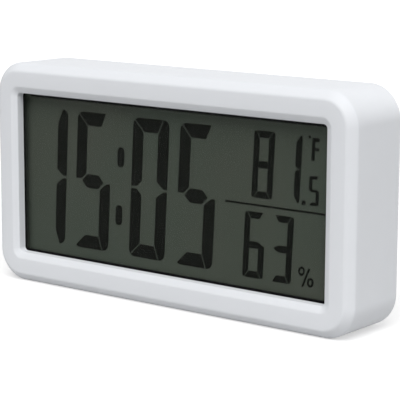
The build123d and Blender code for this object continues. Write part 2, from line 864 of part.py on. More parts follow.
# Push buttons: rounded cap, retaining flange and plunger
for key_name, key_x in zip(key_names, key_places):
    with BuildPart() as push_button:
        with BuildSketch(level(key_flange_depth)):
            with Locations((key_x, key_z)):
                Rectangle(key_width + 2 * key_flange, key_height + 2 * key_flange)
        extrude(amount=-key_flange_thickness)
        with BuildSketch(level(key_flange_depth)):
            with Locations((key_x, key_z)):
                SlotOverall(key_width, key_height)
        extrude(amount=key_flange_depth - cover_outer_depth - key_rise)
        chamfer(push_button.faces().sort_by(Axis.Y)[-1].edges(), length=key_edge)
        with BuildSketch(level(key_flange_depth)):
            with Locations((key_x, key_z)):
                small_round(key_plunger_radius)
        extrude(amount=key_plunger_length)
    push_button.part.label = f"{key_name}_button"
    export_step(push_button.part, f"parts/{key_name}_button.step")

    with BuildPart() as switch_stem:
        with BuildSketch(level(stem_top_depth)):
            with Locations((key_x, key_z)):
                small_round(stem_radius)
        extrude(amount=stem_out + stem_in)
    switch_stem.part.label = f"{key_name}_switch_stem"
    export_step(switch_stem.part, f"parts/{key_name}_switch_stem.step")

    with BuildPart() as switch_body:
        with BuildSketch(level(button_board_back)):
            with Locations((key_x, key_z)):
                Rectangle(switch_size, switch_size)
        extrude(amount=-switch_height)
        with BuildSketch(level(switch_top_depth)):
            with Locations((key_x, key_z)):
                small_round(stem_radius + slip_gap)
        extrude(amount=stem_in + key_travel + seat_gap, mode=Mode.SUBTRACT)
    switch_body.part.label = f"{key_name}_switch"
    export_step(switch_body.part, f"parts/{key_name}_switch.step")

# Slide knob, shown at the left stop, with a foot that grips the switch lever
with BuildPart() as slide_knob:
    with BuildSketch(level(slide_flange_depth)):
        with Locations((slide_rest_x, key_z)):
            Rectangle(slide_knob_width + 2 * slide_flange, slide_knob_height + 2 * slide_flange)
    extrude(amount=-slide_flange_thickness)
    with BuildSketch(level(slide_flange_depth)):
        with Locations((slide_rest_x, key_z)):
            Rectangle(slide_knob_width, slide_knob_height)
    extrude(amount=slide_flange_depth - cover_outer_depth - slide_knob_rise)
    with BuildSketch(level(slide_foot_depth)):
        with Locations((slide_rest_x, key_z)):
            Rectangle(slide_foot_size, slide_foot_size)
    extrude(amount=-slide_foot_length)
    with BuildSketch(level(slide_foot_depth)):
        with Locations((slide_rest_x, key_z)):
            Rectangle(slide_lever_size + 2 * slip_gap, slide_lever_size + 2 * slip_gap)
    extrude(amount=-slide_lever_grip - slip_gap, mode=Mode.SUBTRACT)
slide_knob.part.label = "slide_knob"
export_step(slide_knob.part, "parts/slide_knob.step")

with BuildPart() as slide_lever:
    with BuildSketch(level(slide_body_top - slide_lever_depth)):
        with Locations((slide_rest_x, key_z)):
            Rectangle(slide_lever_size, slide_lever_size)
    extrude(amount=slide_body_top - slide_lever_depth - slide_foot_depth - slide_lever_grip)
slide_lever.part.label = "slide_lever"
export_step(slide_lever.part, "parts/slide_lever.step")

with BuildPart() as slide_switch:
    with BuildSketch(level(button_board_back)):
        with Locations((slide_x, key_z)):
            Rectangle(slide_body_length, slide_body_width)
    extrude(amount=-slide_body_height)
    with BuildSketch(level(slide_body_top)):
        with Locations((slide_x, key_z)):
            Rectangle(slide_lever_size + slide_travel + 2 * slip_gap, slide_lever_size + 2 * slip_gap)
    extrude(amount=slide_lever_depth + slip_gap, mode=Mode.SUBTRACT)
slide_switch.part.label = "slide_switch"
export_step(slide_switch.part, "parts/slide_switch.step")

# Button board on the cover's two posts
with BuildPart() as button_board:
    with BuildSketch(level(button_board_depth)):
        with Locations((button_board_x, key_z)):
            Rectangle(button_board_width, button_board_height)
        with Locations(*button_post_places):
            small_round(frame_screw_shank + slip_gap, mode=Mode.SUBTRACT)
    extrude(amount=-button_board_thickness)
button_board.part.label = "button_board"
export_step(button_board.part, "parts/button_board.step")

button_board_screws = screw_group(
    button_post_places, button_board_depth, frame_screw_head, frame_screw_head_height,
    frame_screw_shank, button_screw_length, False, False,
)
button_board_screws.part.label = "button_board_screws"
export_step(button_board_screws.part, "parts/button_board_screws.step")

# Flat ribbon cable from the main board to the button board
with BuildPart() as ribbon_cable:
    with BuildSketch(end_plane(ribbon_x - ribbon_width / 2, 0)):
        with BuildLine():
            FilletPolyline(
                (board_back - cell_depth, ribbon_low_z),
                (ribbon_turn_depth - cell_depth, ribbon_low_z),
                (ribbon_turn_depth - cell_depth, ribbon_high_z),
                (button_board_depth - cell_depth, ribbon_high_z),
                radius=ribbon_bend,
            )
        trace(line_width=ribbon_thickness)
    extrude(amount=ribbon_width)
ribbon_cable.part.label = "ribbon_cable"
export_step(ribbon_cable.part, "parts/ribbon_cable.step")

# Piezo buzzer: brass disc on the ring's ledge, with its ceramic layer in front
with BuildPart() as buzzer_disc:
    with BuildSketch(level(buzzer_depth)):
        with Locations((buzzer_x, buzzer_z)):
            Circle(buzzer_radius)
    extrude(amount=buzzer_thickness)
buzzer_disc.part.label = "buzzer_disc"
export_step(buzzer_disc.part, "parts/buzzer_disc.step")

with BuildPart() as buzzer_ceramic:
    with BuildSketch(level(ceramic_depth)):
        with Locations((buzzer_x, buzzer_z)):
            Circle(buzzer_ceramic_radius)
    extrude(amount=buzzer_ceramic_thickness)
buzzer_ceramic.part.label = "buzzer_ceramic"
export_step(buzzer_ceramic.part, "parts/buzzer_ceramic.step")

buzzer_leads = wire_group(
    [
        wire_route(buzzer_x + buzzer_wire_x, ceramic_depth, buzzer_z),
        wire_route(buzzer_x + wire_spread, ceramic_depth - buzzer_ceramic_thickness, buzzer_z),
    ],
    wire_radius,
    wire_bend,
)
buzzer_leads.part.label = "buzzer_leads"
export_step(buzzer_leads.part, "parts/buzzer_leads.step")

# Sensor board behind the vents
with BuildPart() as sensor_board:
    with BuildSketch(level(sensor_board_depth)):
        with Locations((sensor_x, sensor_z)):
            Rectangle(sensor_board_width, sensor_board_height)
        with Locations(sensor_post_place):
            small_round(frame_screw_shank + slip_gap, mode=Mode.SUBTRACT)
    extrude(amount=-sensor_board_thickness)
sensor_board.part.label = "sensor_board"
export_step(sensor_board.part, "parts/sensor_board.step")

sensor_board_screw = screw_group(
    [sensor_post_place], sensor_board_depth, frame_screw_head, frame_screw_head_height,
    frame_screw_shank, sensor_screw_length, False, False,
)
sensor_board_screw.part.label = "sensor_board_screw"
export_step(sensor_board_screw.part, "parts/sensor_board_screw.step")

with BuildPart() as humidity_sensor:
    with BuildSketch(level(sensor_board_back)):
        with Locations((sensor_x, sensor_z + humidity_rise)):
            Rectangle(humidity_width, humidity_height)
    extrude(amount=-humidity_thickness)
humidity_sensor.part.label = "humidity_sensor"
export_step(humidity_sensor.part, "parts/humidity_sensor.step")

with BuildPart() as temperature_sensor:
    with BuildSketch(
        Plane(
            origin=spot(
                sensor_x - temperature_length / 2,
                sensor_board_back + temperature_radius,
                sensor_z + temperature_rise,
            ),
            x_dir=(0, 1, 0),
            z_dir=(1, 0, 0),
        )
    ):
        small_round(temperature_radius)
    extrude(amount=temperature_length)
temperature_sensor.part.label = "temperature_sensor"
export_step(temperature_sensor.part, "parts/temperature_sensor.step")

# Flat lead from the main board to the sensor board
with BuildPart() as sensor_leads:
    with BuildSketch(end_plane(sensor_x - sensor_ribbon_width / 2, 0)):
        with BuildLine():
            FilletPolyline(
                (board_back - cell_depth, sensor_lead_z),
                ((board_back + sensor_board_depth) / 2 - cell_depth, sensor_lead_z),
                ((board_back + sensor_board_depth) / 2 - cell_depth, sensor_lead_z + 2 * wire_bend),
                (sensor_board_depth - cell_depth, sensor_lead_z + 2 * wire_bend),
                radius=wire_bend,
            )
        trace(line_width=sensor_ribbon_thickness)
    extrude(amount=sensor_ribbon_width)
sensor_leads.part.label = "sensor_leads"
export_step(sensor_leads.part, "parts/sensor_leads.step")
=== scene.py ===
import json
import math

import bmesh
import bpy
from mathutils import Matrix, Vector


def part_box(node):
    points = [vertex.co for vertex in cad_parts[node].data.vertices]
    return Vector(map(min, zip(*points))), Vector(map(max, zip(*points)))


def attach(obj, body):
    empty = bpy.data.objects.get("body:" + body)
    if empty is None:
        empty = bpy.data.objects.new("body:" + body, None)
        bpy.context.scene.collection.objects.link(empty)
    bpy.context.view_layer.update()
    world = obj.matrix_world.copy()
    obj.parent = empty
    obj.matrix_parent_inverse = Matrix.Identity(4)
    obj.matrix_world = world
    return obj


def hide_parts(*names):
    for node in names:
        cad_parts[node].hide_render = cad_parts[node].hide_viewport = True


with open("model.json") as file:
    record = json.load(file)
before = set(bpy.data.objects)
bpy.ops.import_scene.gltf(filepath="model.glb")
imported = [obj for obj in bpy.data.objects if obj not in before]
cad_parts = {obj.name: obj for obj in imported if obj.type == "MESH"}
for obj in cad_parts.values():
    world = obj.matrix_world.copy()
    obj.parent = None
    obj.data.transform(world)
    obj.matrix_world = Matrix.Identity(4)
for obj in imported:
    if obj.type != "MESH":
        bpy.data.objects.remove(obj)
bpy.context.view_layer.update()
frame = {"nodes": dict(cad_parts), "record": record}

MM = 0.001
NODES = frame["nodes"]
SLOTS = {part["node"]: part["material_slot"] for part in frame["record"]["subparts"]}

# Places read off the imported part, in metres
CASE_LOW, CASE_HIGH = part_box("front_housing")
CASE_WIDTH = CASE_HIGH.x - CASE_LOW.x
CASE_HEIGHT = CASE_HIGH.z - CASE_LOW.z
FRONT_Y = CASE_LOW.y
BACK_Y = CASE_HIGH.y
MIDDLE_Z = (CASE_LOW.z + CASE_HIGH.z) / 2
WINDOW_FRONT_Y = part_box("display_window")[0].y
DISPLAY_FACE_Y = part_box("front_polarizer")[0].y

# Angles above which an edge stays sharp in the shading, in degrees
CASE_ANGLE = 32.0
SCREW_ANGLE = 32.0
CELL_ANGLE = 35.0
WIRE_ANGLE = 60.0

# Shell of the case, in metres, and the steps of each rounded corner
CORNER_STEPS = 20
CASE_CORNER = 11.8 * MM
LEAST_CORNER = 0.3 * MM
CASE_WALL = 2.2 * MM
FRONT_WALL = 2.6 * MM
CHAMFER = 2.87 * MM
CREASE = 0.75 * MM
REAR_ROUND = 0.8 * MM
BORDER_SIDE = 11.0 * MM
BORDER_END = 11.15 * MM
OPENING_CORNER = 1.5 * MM
BEVEL_REACH = 2.4 * MM
BEVEL_DEPTH = 1.15 * MM
BEVEL_CREASE = 0.35 * MM
LIP = 0.3 * MM
SEAT_CLEARANCE = 0.3 * MM
SEAT_CORNER = 0.3 * MM
SEAT_RIB = 1.2 * MM
RIB_CORNER = 0.5 * MM
BOSS_ROOT = 0.2 * MM
BOSS_RADIUS = 2.5 * MM
PILOT_RADIUS = 1.12 * MM
LUG_RADIUS = 2.4 * MM
LUG_PILOT_RADIUS = 0.92 * MM
LUG_HEIGHT = 18.0 * MM
COVER_THICKNESS = 2.0 * MM

# Edges of the pieces made over their nodes: metres for the distance, degrees for the angles
MERGE_DISTANCE = 1e-6
FLAT_ANGLE = 0.6
EDGE_ANGLE = 33.0
EDGE_SEGMENTS = 2

# Screws of the rear cover, in metres, and parts of 1 for the tip and the taper of the recess
SCREW_HEAD_RADIUS = 2.2 * MM
SCREW_HEAD_HEIGHT = 1.2 * MM
SCREW_HEAD_INSET = 0.15 * MM
SCREW_RIM = 0.12 * MM
SCREW_SHANK_RADIUS = 1.1 * MM
SCREW_TIP_LENGTH = 0.6 * MM
SCREW_TIP_SHARE = 0.45
CROSS_WIDTH = 0.62 * MM
CROSS_REACH = 1.25 * MM
CROSS_DEPTH = 0.85 * MM
CROSS_TAPER = 0.55
CROSS_OVERRUN = 0.2 * MM

# Angle at which each cover screw stops, in radians for each metre of its place
SCREW_TURN_X = 40
SCREW_TURN_Z = 25

# Cells, in metres, and the bands of their profile that are bare steel
CELL_STEPS = 64
NUB_RADIUS = 1.9 * MM
NUB_LENGTH = 0.9 * MM
NUB_ROUND = 0.25 * MM
CELL_ROLL = 0.45 * MM
CELL_ROLL_MIDDLE = 0.13 * MM
JACKET_LAP = 0.9 * MM
END_GROOVE = 0.2 * MM
CAN_SHOULDER = 0.5 * MM
CAN_SHOULDER_DEPTH = 0.15 * MM
CELL_STEEL_RINGS = (0, 1, 2, 3, 4, 5, 13, 14)

# Contact springs, in metres. The closed share is the part of each end that lies flat
SPRING_WIRE_RADIUS = 0.25 * MM
SPRING_BASE_RADIUS = 4.0 * MM
SPRING_TIP_RADIUS = 2.4 * MM
SPRING_TURNS = 3.5
SPRING_STEPS = 40
SPRING_CLOSED_SHARE = 0.12

# Signs printed under the controls, in metres. Shares are parts of half a sign, the bore a part of the ring
MARK_SIZE = 2.2 * MM
MARK_DROP = 2.4 * MM
MARK_SPREAD = 2.0 * MM
MARK_RING_SHARE = 0.75
MARK_BAR_SHARE = 0.2
MARK_RING_BORE = 0.7
MARK_STEPS = 32

# Painted shade along the left edge of the display, in metres
PAINTED_SHADE_START = 1.0 * MM
PAINTED_SHADE_LENGTH = 4.0 * MM
MASK_LAP = 2.6 * MM

# Figures on the display, in millimetres from the middle of the case
SLANT = 0.051
INK = 0.04
BIG = {
    "half_width": 8.3, "half_height": 25.25, "side_bar": 4.95, "end_bar": 4.95, "corner": 2.7, "gap": 0.16,
    "left_lean": 0.0, "right_lean": 2.9, "split": 0.1, "split_gap": 0.45, "left_tip": 2.7, "right_tip": 1.7,
    "left_rise": 2.6, "right_rise": 2.95, "middle_left": 5.3, "middle_right": 5.0, "middle_half": 2.55,
    "middle_slope": 2.45, "middle_z": -0.1,
}
SMALL = {
    "half_width": 4.36, "half_height": 11.5, "side_bar": 2.5, "end_bar": 2.4, "corner": 1.15, "gap": 0.11,
    "left_lean": 0.9, "right_lean": 0.9, "split": 0.0, "split_gap": 0.11, "left_tip": 1.4, "right_tip": 1.4,
    "left_rise": 1.1, "right_rise": 1.1, "middle_left": 3.6, "middle_right": 3.6, "middle_half": 1.25,
    "middle_slope": 2.2, "middle_z": 0.0,
}
TINY = {
    "half_width": 2.1, "half_height": 4.95, "side_bar": 1.35, "end_bar": 1.15, "corner": 0.3, "gap": 0.03,
    "left_lean": 0.35, "right_lean": 0.35, "split": 0.0, "split_gap": 0.03,
    "left_tip": 0.7, "right_tip": 0.7, "left_rise": 0.4, "right_rise": 0.4,
    "middle_left": 1.6, "middle_right": 1.6, "middle_half": 0.48, "middle_slope": 0.5, "middle_z": 0.0,
}
# Digit, design, place along the display, height of its middle
DIGITS = (
    ("1", BIG, -57.05, -0.35), ("5", BIG, -35.75, -0.35), ("0", BIG, -9.3, -0.35), ("5", BIG, 12.1, -0.35),
    ("8", SMALL, 39.9, 13.5), ("1", SMALL, 50.95, 13.5),
    ("6", SMALL, 37.7, -14.35), ("3", SMALL, 49.3, -14.35),
    ("5", TINY, 60.85, 6.9),
)
SEGMENTS = {"0": "abcdef", "1": "bc", "3": "abcdg", "5": "acdfg", "6": "acdefg", "8": "abcdefg"}
COLON_X = -22.85
COLON_HEIGHTS = (9.85, -11.4)
COLON_HALF_WIDTH = 1.65
COLON_HALF_HEIGHT = 3.7
RULE_LEFT = 24.6
RULE_RIGHT = 66.5
RULE_Z = -0.5
RULE_HALF_HEIGHT = 0.35
POINT_PLACE = (57.0, 2.5)
POINT_HALF = 0.78
DEGREE_PLACE = (57.95, 24.6)
DEGREE_HALF = 0.48
LETTER_F_LEFT = 59.05
LETTER_F_LOW = 16.9
LETTER_F_HIGH = 24.5
LETTER_F_STROKE = 1.35
LETTER_F_ARM = 2.9
LETTER_F_MIDDLE = 20.7
LETTER_F_MIDDLE_SHARE = 0.8
PERCENT_RINGS = ((57.75, -20.65), (61.5, -24.1))
PERCENT_RADII = (1.35, 1.65)
PERCENT_STROKE = 0.82
PERCENT_SLASH = ((58.35, -25.9), (60.85, -19.4))

# Floor, in metres. Its tones and its glow are given near the clock and far from it
FLOOR_REACH = 3.0
FLOOR_NARROWING = (0.5, 1, 1)
FLOOR_TONES = (0.57, 0.35)
FLOOR_GLOW = (0.52, 0.92)
FLOOR_CHANGE = (0.04, 0.2)

# Surroundings, as strengths
SOFT_LIGHT = 0.34
WHITE_LIGHT = 1.0

# Lights, in metres: name, direction from the clock, power in watts
MIDDLE = Vector((0.0, 0.0, MIDDLE_Z))
LIGHT_DISTANCE = 3.0
LIGHT_SIZE = 2.0
LIGHTS = (
    ("key_light", (0.24, -0.38, 0.58), 80.0),
    ("side_light", (1.00, -0.18, 0.10), 4.0),
    ("rear_light", (0.12, 1.00, 0.10), 36.0),
)

# Camera, fitted to edges of the photograph: degrees, metres, and millimetres for the lens and the sensor
CAMERA_YAW = 38.12
CAMERA_PITCH = 10.33
CAMERA_ROLL = 0.18
CAMERA_DISTANCE = 0.572
CAMERA_TARGET = (0.01816, -0.01425, 0.04092)
CAMERA_LENS = 150.67
CAMERA_SENSOR = 36.0
CAMERA_NEAR = 0.01

# Finishes: how much wider than the grain the clouds and the uneven gloss are, and the least roughness
CLOUD_WIDTH = 30
GLOSS_WIDTH = 8
LEAST_ROUGHNESS = 0.02

# Brushed metal: lines in waves per metre, their tone and gloss, and their relief in metres
METAL_LINES = 220.0
METAL_LINE_TONE = 0.88
METAL_GLOSS_SPREAD = 0.07
METAL_RELIEF = 0.01 * MM
METAL_RELIEF_STRENGTH = 0.15


# Node trees

def new_material(name):
    """An empty node material with its Principled shader and its object coordinates."""
    material = bpy.data.materials.new(name)
    material.use_nodes = True
    nodes = material.node_tree.nodes
    shader = nodes["Principled BSDF"]
    coordinates = nodes.new("ShaderNodeTexCoord")
    return material, shader, coordinates.outputs["Object"]


def noise(material, vector, scale, detail=3.0, roughness=0.5):
    """Noise in object space. The scale is in waves per metre."""
    node = material.node_tree.nodes.new("ShaderNodeTexNoise")
    node.inputs["Scale"].default_value = scale
    node.inputs["Detail"].default_value = detail
    node.inputs["Roughness"].default_value = roughness
    material.node_tree.links.new(vector, node.inputs["Vector"])
    return node.outputs["Fac"]


def remap(material, value, low, high, start=0.3, end=0.7):
    """A value from start to end spread over low to high."""
    node = material.node_tree.nodes.new("ShaderNodeMapRange")
    node.inputs["From Min"].default_value = start
    node.inputs["From Max"].default_value = end
    node.inputs["To Min"].default_value = low
    node.inputs["To Max"].default_value = high
    material.node_tree.links.new(value, node.inputs["Value"])
    return node.outputs["Result"]


def blend_colors(material, value, first, second):
    """A colour between two others, by a value from 0 to 1. Each colour is a tuple or a socket."""
    tree = material.node_tree
    node = tree.nodes.new("ShaderNodeMix")
    node.data_type = "RGBA"
    for name, color in (("A", first), ("B", second)):
        if isinstance(color, tuple):
            node.inputs[name].default_value = (*color, 1)
        else:
            tree.links.new(color, node.inputs[name])
    tree.links.new(value, node.inputs["Factor"])
    return node.outputs["Result"]


def calculate(tree, operation, *values):
    """Result of a Math node on values, each a number or a socket."""
    node = tree.nodes.new("ShaderNodeMath")
    node.operation = operation
    for target, value in zip(node.inputs, values):
        if isinstance(value, (int, float)):
            target.default_value = value
        else:
            tree.links.new(value, target)
    return node.outputs[0]


def split_place(material, place):
    """The coordinates of a place, one by one."""
    node = material.node_tree.nodes.new("ShaderNodeSeparateXYZ")
    material.node_tree.links.new(place, node.inputs["Vector"])
    return node.outputs


def add_bump(material, shader, height, strength, distance):
    """Surface relief from a height value. The distance is in metres."""
    node = material.node_tree.nodes.new("ShaderNodeBump")
    node.inputs["Strength"].default_value = strength
    node.inputs["Distance"].default_value = distance
    material.node_tree.links.new(height, node.inputs["Height"])
    material.node_tree.links.new(node.outputs["Normal"], shader.inputs["Normal"])


def varied_material(
    name, color, roughness, metallic=0.0, specular=0.5, grain=900.0, variation=0.03,
    relief=0.00002, relief_strength=0.3, gloss_variation=0.06,
):
    """Moulded or plated finish: fine relief, slight cloudiness in its colour, and uneven gloss."""
    material, shader, place = new_material(name)
    links = material.node_tree.links
    shader.inputs["Metallic"].default_value = metallic
    shader.inputs["Specular IOR Level"].default_value = specular
    cloud = remap(material, noise(material, place, grain / CLOUD_WIDTH, detail=4.0), 0.0, 1.0)
    darker = tuple(part * (1 - variation) for part in color)
    lighter = tuple(min(1.0, part * (1 + variation)) for part in color)
    links.new(blend_colors(material, cloud, darker, lighter), shader.inputs["Base Color"])
    gloss = remap(
        material, noise(material, place, grain / GLOSS_WIDTH, detail=2.0),
        max(LEAST_ROUGHNESS, roughness - gloss_variation), min(1.0, roughness + gloss_variation),
    )
    links.new(gloss, shader.inputs["Roughness"])
    add_bump(material, shader, noise(material, place, grain, detail=2.0), relief_strength, relief)
    return material


def brushed_metal(name, color, roughness, stretch=(40.0, 1.0, 1.0)):
    """Drawn or plated sheet: fine lines along one direction over slight cloudiness."""
    material, shader, place = new_material(name)
    tree = material.node_tree
    shader.inputs["Metallic"].default_value = 1.0
    mapping = tree.nodes.new("ShaderNodeMapping")
    mapping.inputs["Scale"].default_value = stretch
    tree.links.new(place, mapping.inputs["Vector"])
    lines = noise(material, mapping.outputs["Vector"], METAL_LINES)
    darker = tuple(part * METAL_LINE_TONE for part in color)
    tone = blend_colors(material, remap(material, lines, 0, 1), darker, color)
    tree.links.new(tone, shader.inputs["Base Color"])
    gloss = remap(material, lines, roughness - METAL_GLOSS_SPREAD, roughness + METAL_GLOSS_SPREAD)
    tree.links.new(gloss, shader.inputs["Roughness"])
    add_bump(material, shader, lines, METAL_RELIEF_STRENGTH, METAL_RELIEF)
    return material


def circuit_material():
    """Green solder mask with lighter copper tracks just visible under it."""
    material, shader, place = new_material("circuit_board")
    tree = material.node_tree
    tracks = tree.nodes.new("ShaderNodeTexBrick")
    tracks.inputs["Scale"].default_value = 160.0
    tracks.inputs["Mortar Size"].default_value = 0.06
    tracks.inputs["Color1"].default_value = (0.010, 0.110, 0.045, 1)
    tracks.inputs["Color2"].default_value = (0.012, 0.125, 0.050, 1)
    tracks.inputs["Mortar"].default_value = (0.030, 0.230, 0.085, 1)
    mapping = tree.nodes.new("ShaderNodeMapping")
    mapping.inputs["Rotation"].default_value = (math.pi / 2, 0, 0)
    tree.links.new(place, mapping.inputs["Vector"])
    tree.links.new(mapping.outputs["Vector"], tracks.inputs["Vector"])
    tree.links.new(tracks.outputs["Color"], shader.inputs["Base Color"])
    gloss = remap(material, noise(material, place, scale=300.0), low=0.22, high=0.36)
    tree.links.new(gloss, shader.inputs["Roughness"])
    add_bump(material, shader, tracks.outputs["Fac"], strength=0.3, distance=0.02 * MM)
    return material


def painted_left_shade(material, across):
    """Painted shade along the left of the display: 0, fully shaded, at its left edge, rising to 1, unshaded,
    over the length of the shade.
    """
    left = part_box("display_window")[0].x + PAINTED_SHADE_START
    return remap(material, across, 0.0, 1.0, left, left + PAINTED_SHADE_LENGTH)


def display_material():
    """Background of the display: grey-green, with painted shade darkening its left edge where the frame
    would shade it.
    """
    material, shader, place = new_material("display_background")
    links = material.node_tree.links
    shader.inputs["Specular IOR Level"].default_value = 0.12
    shade = painted_left_shade(material, split_place(material, place)["X"])
    cloud = remap(material, noise(material, place, scale=22.0, detail=2.0), 0.0, 1.0)
    face = blend_colors(material, cloud, (0.051, 0.066, 0.050), (0.061, 0.070, 0.054))
    # The near-black colour is painted shade at the left edge, blended into the display's face.
    links.new(blend_colors(material, shade, (0.004, 0.005, 0.006), face), shader.inputs["Base Color"])
    gloss = remap(material, noise(material, place, scale=700.0), low=0.5, high=0.6)
    links.new(gloss, shader.inputs["Roughness"])
    grain = noise(material, place, scale=1500.0, detail=2.0)
    add_bump(material, shader, grain, strength=0.1, distance=0.01 * MM)
    return material


def mask_material():
    """Black printed frame. Its left strip carries the display's painted shade, lightening from black to the
    display's colour, short of its upper and lower ends.
    """
    material, shader, place = new_material("mask_black")
    tree = material.node_tree
    shader.inputs["Specular IOR Level"].default_value = 0.1
    coordinates = split_place(material, place)
    low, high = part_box("display_window")
    reach = (high.z - low.z) / 2 - MASK_LAP
    within_height = calculate(tree, "COMPARE", coordinates["Z"], MIDDLE_Z, reach)
    at_left = calculate(tree, "LESS_THAN", coordinates["X"], low.x + MASK_LAP * 2)
    strip = calculate(tree, "MULTIPLY", within_height, at_left)
    painted_shade_blend = calculate(tree, "MULTIPLY", strip, painted_left_shade(material, coordinates["X"]))
    # Black print, turning to the display's colour along the left strip, where it carries the painted shade
    # onto the frame.
    ink = blend_colors(material, painted_shade_blend, (0.004, 0.004, 0.0045), (0.055, 0.066, 0.051))
    tree.links.new(ink, shader.inputs["Base Color"])
    gloss = remap(material, noise(material, place, scale=900.0), low=0.5, high=0.65)
    tree.links.new(gloss, shader.inputs["Roughness"])
    return material


def window_material():
    """Clear polished sheet with the faintest haze."""
    material = varied_material("window_acrylic", (0.02, 0.02, 0.02), 0.12, grain=200.0, relief_strength=0.02)
    shader = material.node_tree.nodes["Principled BSDF"]
    shader.inputs["Alpha"].default_value = 0.04
    material.surface_render_method = "BLENDED"
    return material


# Geometry helpers

def link(mesh, name):
    """An object for a mesh or curve, in the scene."""
    piece = bpy.data.objects.new(name, mesh)
    bpy.context.scene.collection.objects.link(piece)
    return piece


def shade_smooth(mesh, angle):
    """Smooth shading with sharp edges kept above an angle."""
    mesh.shade_smooth()
    mesh.set_sharp_from_angle(angle=math.radians(angle))


def rounded_ring(half_width, half_height, corner, steps):
    """Points of a rounded rectangle in the front view, anticlockwise from the lower right."""
    corner = min(corner, half_width, half_height)
    points = []
    for quarter, (side, end) in enumerate(((1, -1), (1, 1), (-1, 1), (-1, -1))):
        centre_x = side * (half_width - corner)
        centre_z = end * (half_height - corner)
        for step in range(steps + 1):
            angle = math.radians(-90 + 90 * quarter + 90 * step / steps)
            points.append((centre_x + corner * math.cos(angle), centre_z + corner * math.sin(angle)))
    return points


def soften(before, corner, after, length, steps=4):
    """Points that round a corner of a profile, starting and ending a length away from it."""
    start = Vector(before) - Vector(corner)
    end = Vector(after) - Vector(corner)
    first = Vector(corner) + start.normalized() * length
    last = Vector(corner) + end.normalized() * length
    points = []
    for step in range(steps + 1):
        share = step / steps
        points.append(tuple(
            (1 - share) ** 2 * first + 2 * share * (1 - share) * Vector(corner) + share ** 2 * last
        ))
    return points


def add_ring_surface(bm, rings):
    """Quads from ring to ring and back to the first. Rings are equally long lists of 3-D points."""
    loops = [[bm.verts.new(point) for point in ring] for ring in rings]
    for first, second in zip(loops, loops[1:] + loops[:1]):
        count = len(first)
        for index in range(count):
            following = (index + 1) % count
            bm.faces.new((first[index], first[following], second[following], second[index]))


def add_tube(bm, x, z, outer, inner, front, back, steps=40):
    """Closed tube standing along the depth, for screw bosses."""
    turns = [2 * math.pi * step / steps for step in range(steps)]

    def circle(radius, y):
        return [(x + radius * math.cos(turn), y, z + radius * math.sin(turn)) for turn in turns]

    add_ring_surface(bm, [
        circle(outer, front), circle(outer, back), circle(inner, back), circle(inner, front),
    ])


def finish_mesh(bm, name, angle=30.0):
    """Mesh and object from a bmesh, with outward normals."""
    bmesh.ops.recalc_face_normals(bm, faces=bm.faces)
    mesh = bpy.data.meshes.new(name)
    bm.to_mesh(mesh)
    bm.free()
    shade_smooth(mesh, angle)
    return link(mesh, name)


def merged_mesh(source, name):
    """Copy of a mesh with its flat faces joined, so that only true edges are rounded."""
    mesh = source.copy()
    mesh.name = name
    bm = bmesh.new()
    bm.from_mesh(mesh)
    bmesh.ops.remove_doubles(bm, verts=bm.verts, dist=MERGE_DISTANCE)
    bmesh.ops.dissolve_limit(
        bm, angle_limit=math.radians(FLAT_ANGLE), verts=bm.verts, edges=bm.edges, delimit={"NORMAL"},
    )
    bm.to_mesh(mesh)
    bm.free()
    return mesh


def dressed_copy(node, name, bevel, material):
    """A piece with the form of a node and softly rounded edges, as a mould leaves them."""
    mesh = merged_mesh(NODES[node].data, name)
    mesh.materials.clear()
    mesh.materials.append(material)
    piece = link(mesh, name)
    modifier = piece.modifiers.new("edges", "BEVEL")
    modifier.width = bevel
    modifier.segments = EDGE_SEGMENTS
    modifier.limit_method = "ANGLE"
    modifier.angle_limit = math.radians(EDGE_ANGLE)
    modifier.use_clamp_overlap = True
    modifier.harden_normals = True
    shade_smooth(mesh, EDGE_ANGLE)
    apply_modifiers(piece)
    return piece


def apply_modifiers(piece):
    """Bakes the modifiers of a piece into its mesh."""
    depsgraph = bpy.context.evaluated_depsgraph_get()
    evaluated = piece.evaluated_get(depsgraph)
    mesh = bpy.data.meshes.new_from_object(evaluated, preserve_all_data_layers=True, depsgraph=depsgraph)
    piece.modifiers.clear()
    old = piece.data
    piece.data = mesh
    mesh.name = piece.name
    bpy.data.meshes.remove(old)


# Case

def case_ring(half_width, half_height, corner, depth):
    """Rounded rectangle about the middle of the case, at a depth behind its front."""
    outline = rounded_ring(half_width, half_height, corner, CORNER_STEPS)
    return [(x, FRONT_Y + depth, MIDDLE_Z + z) for x, z in outline]


def outside_rings(depth):
    """From the inner rim at the back, over the sides and the chamfer, to the front border."""
    half_width, half_height = CASE_WIDTH / 2, CASE_HEIGHT / 2
    rear = soften((CASE_WALL, depth), (0, depth), (0, 0), REAR_ROUND)
    side = soften((0, depth), (0, CHAMFER), (CHAMFER, 0), CREASE)
    front = soften((0, CHAMFER), (CHAMFER, 0), (half_height, 0), CREASE)
    return [
        case_ring(half_width - inset, half_height - inset, max(CASE_CORNER - inset, LEAST_CORNER), at)
        for inset, at in rear + side + front
    ]


def opening_rings(display_depth):
    """The bevel round the display opening and the short wall behind it."""
    half_width = CASE_WIDTH / 2 - BORDER_SIDE
    half_height = CASE_HEIGHT / 2 - BORDER_END
    bevel = soften((BORDER_SIDE, 0), (BEVEL_REACH, 0), (0, BEVEL_DEPTH), BEVEL_CREASE)
    lip = soften((BEVEL_REACH, 0), (0, BEVEL_DEPTH), (0, display_depth), LIP)
    return [
        case_ring(half_width + reach, half_height + reach, OPENING_CORNER + reach, at)
        for reach, at in bevel + lip + [(0, display_depth)]
    ]


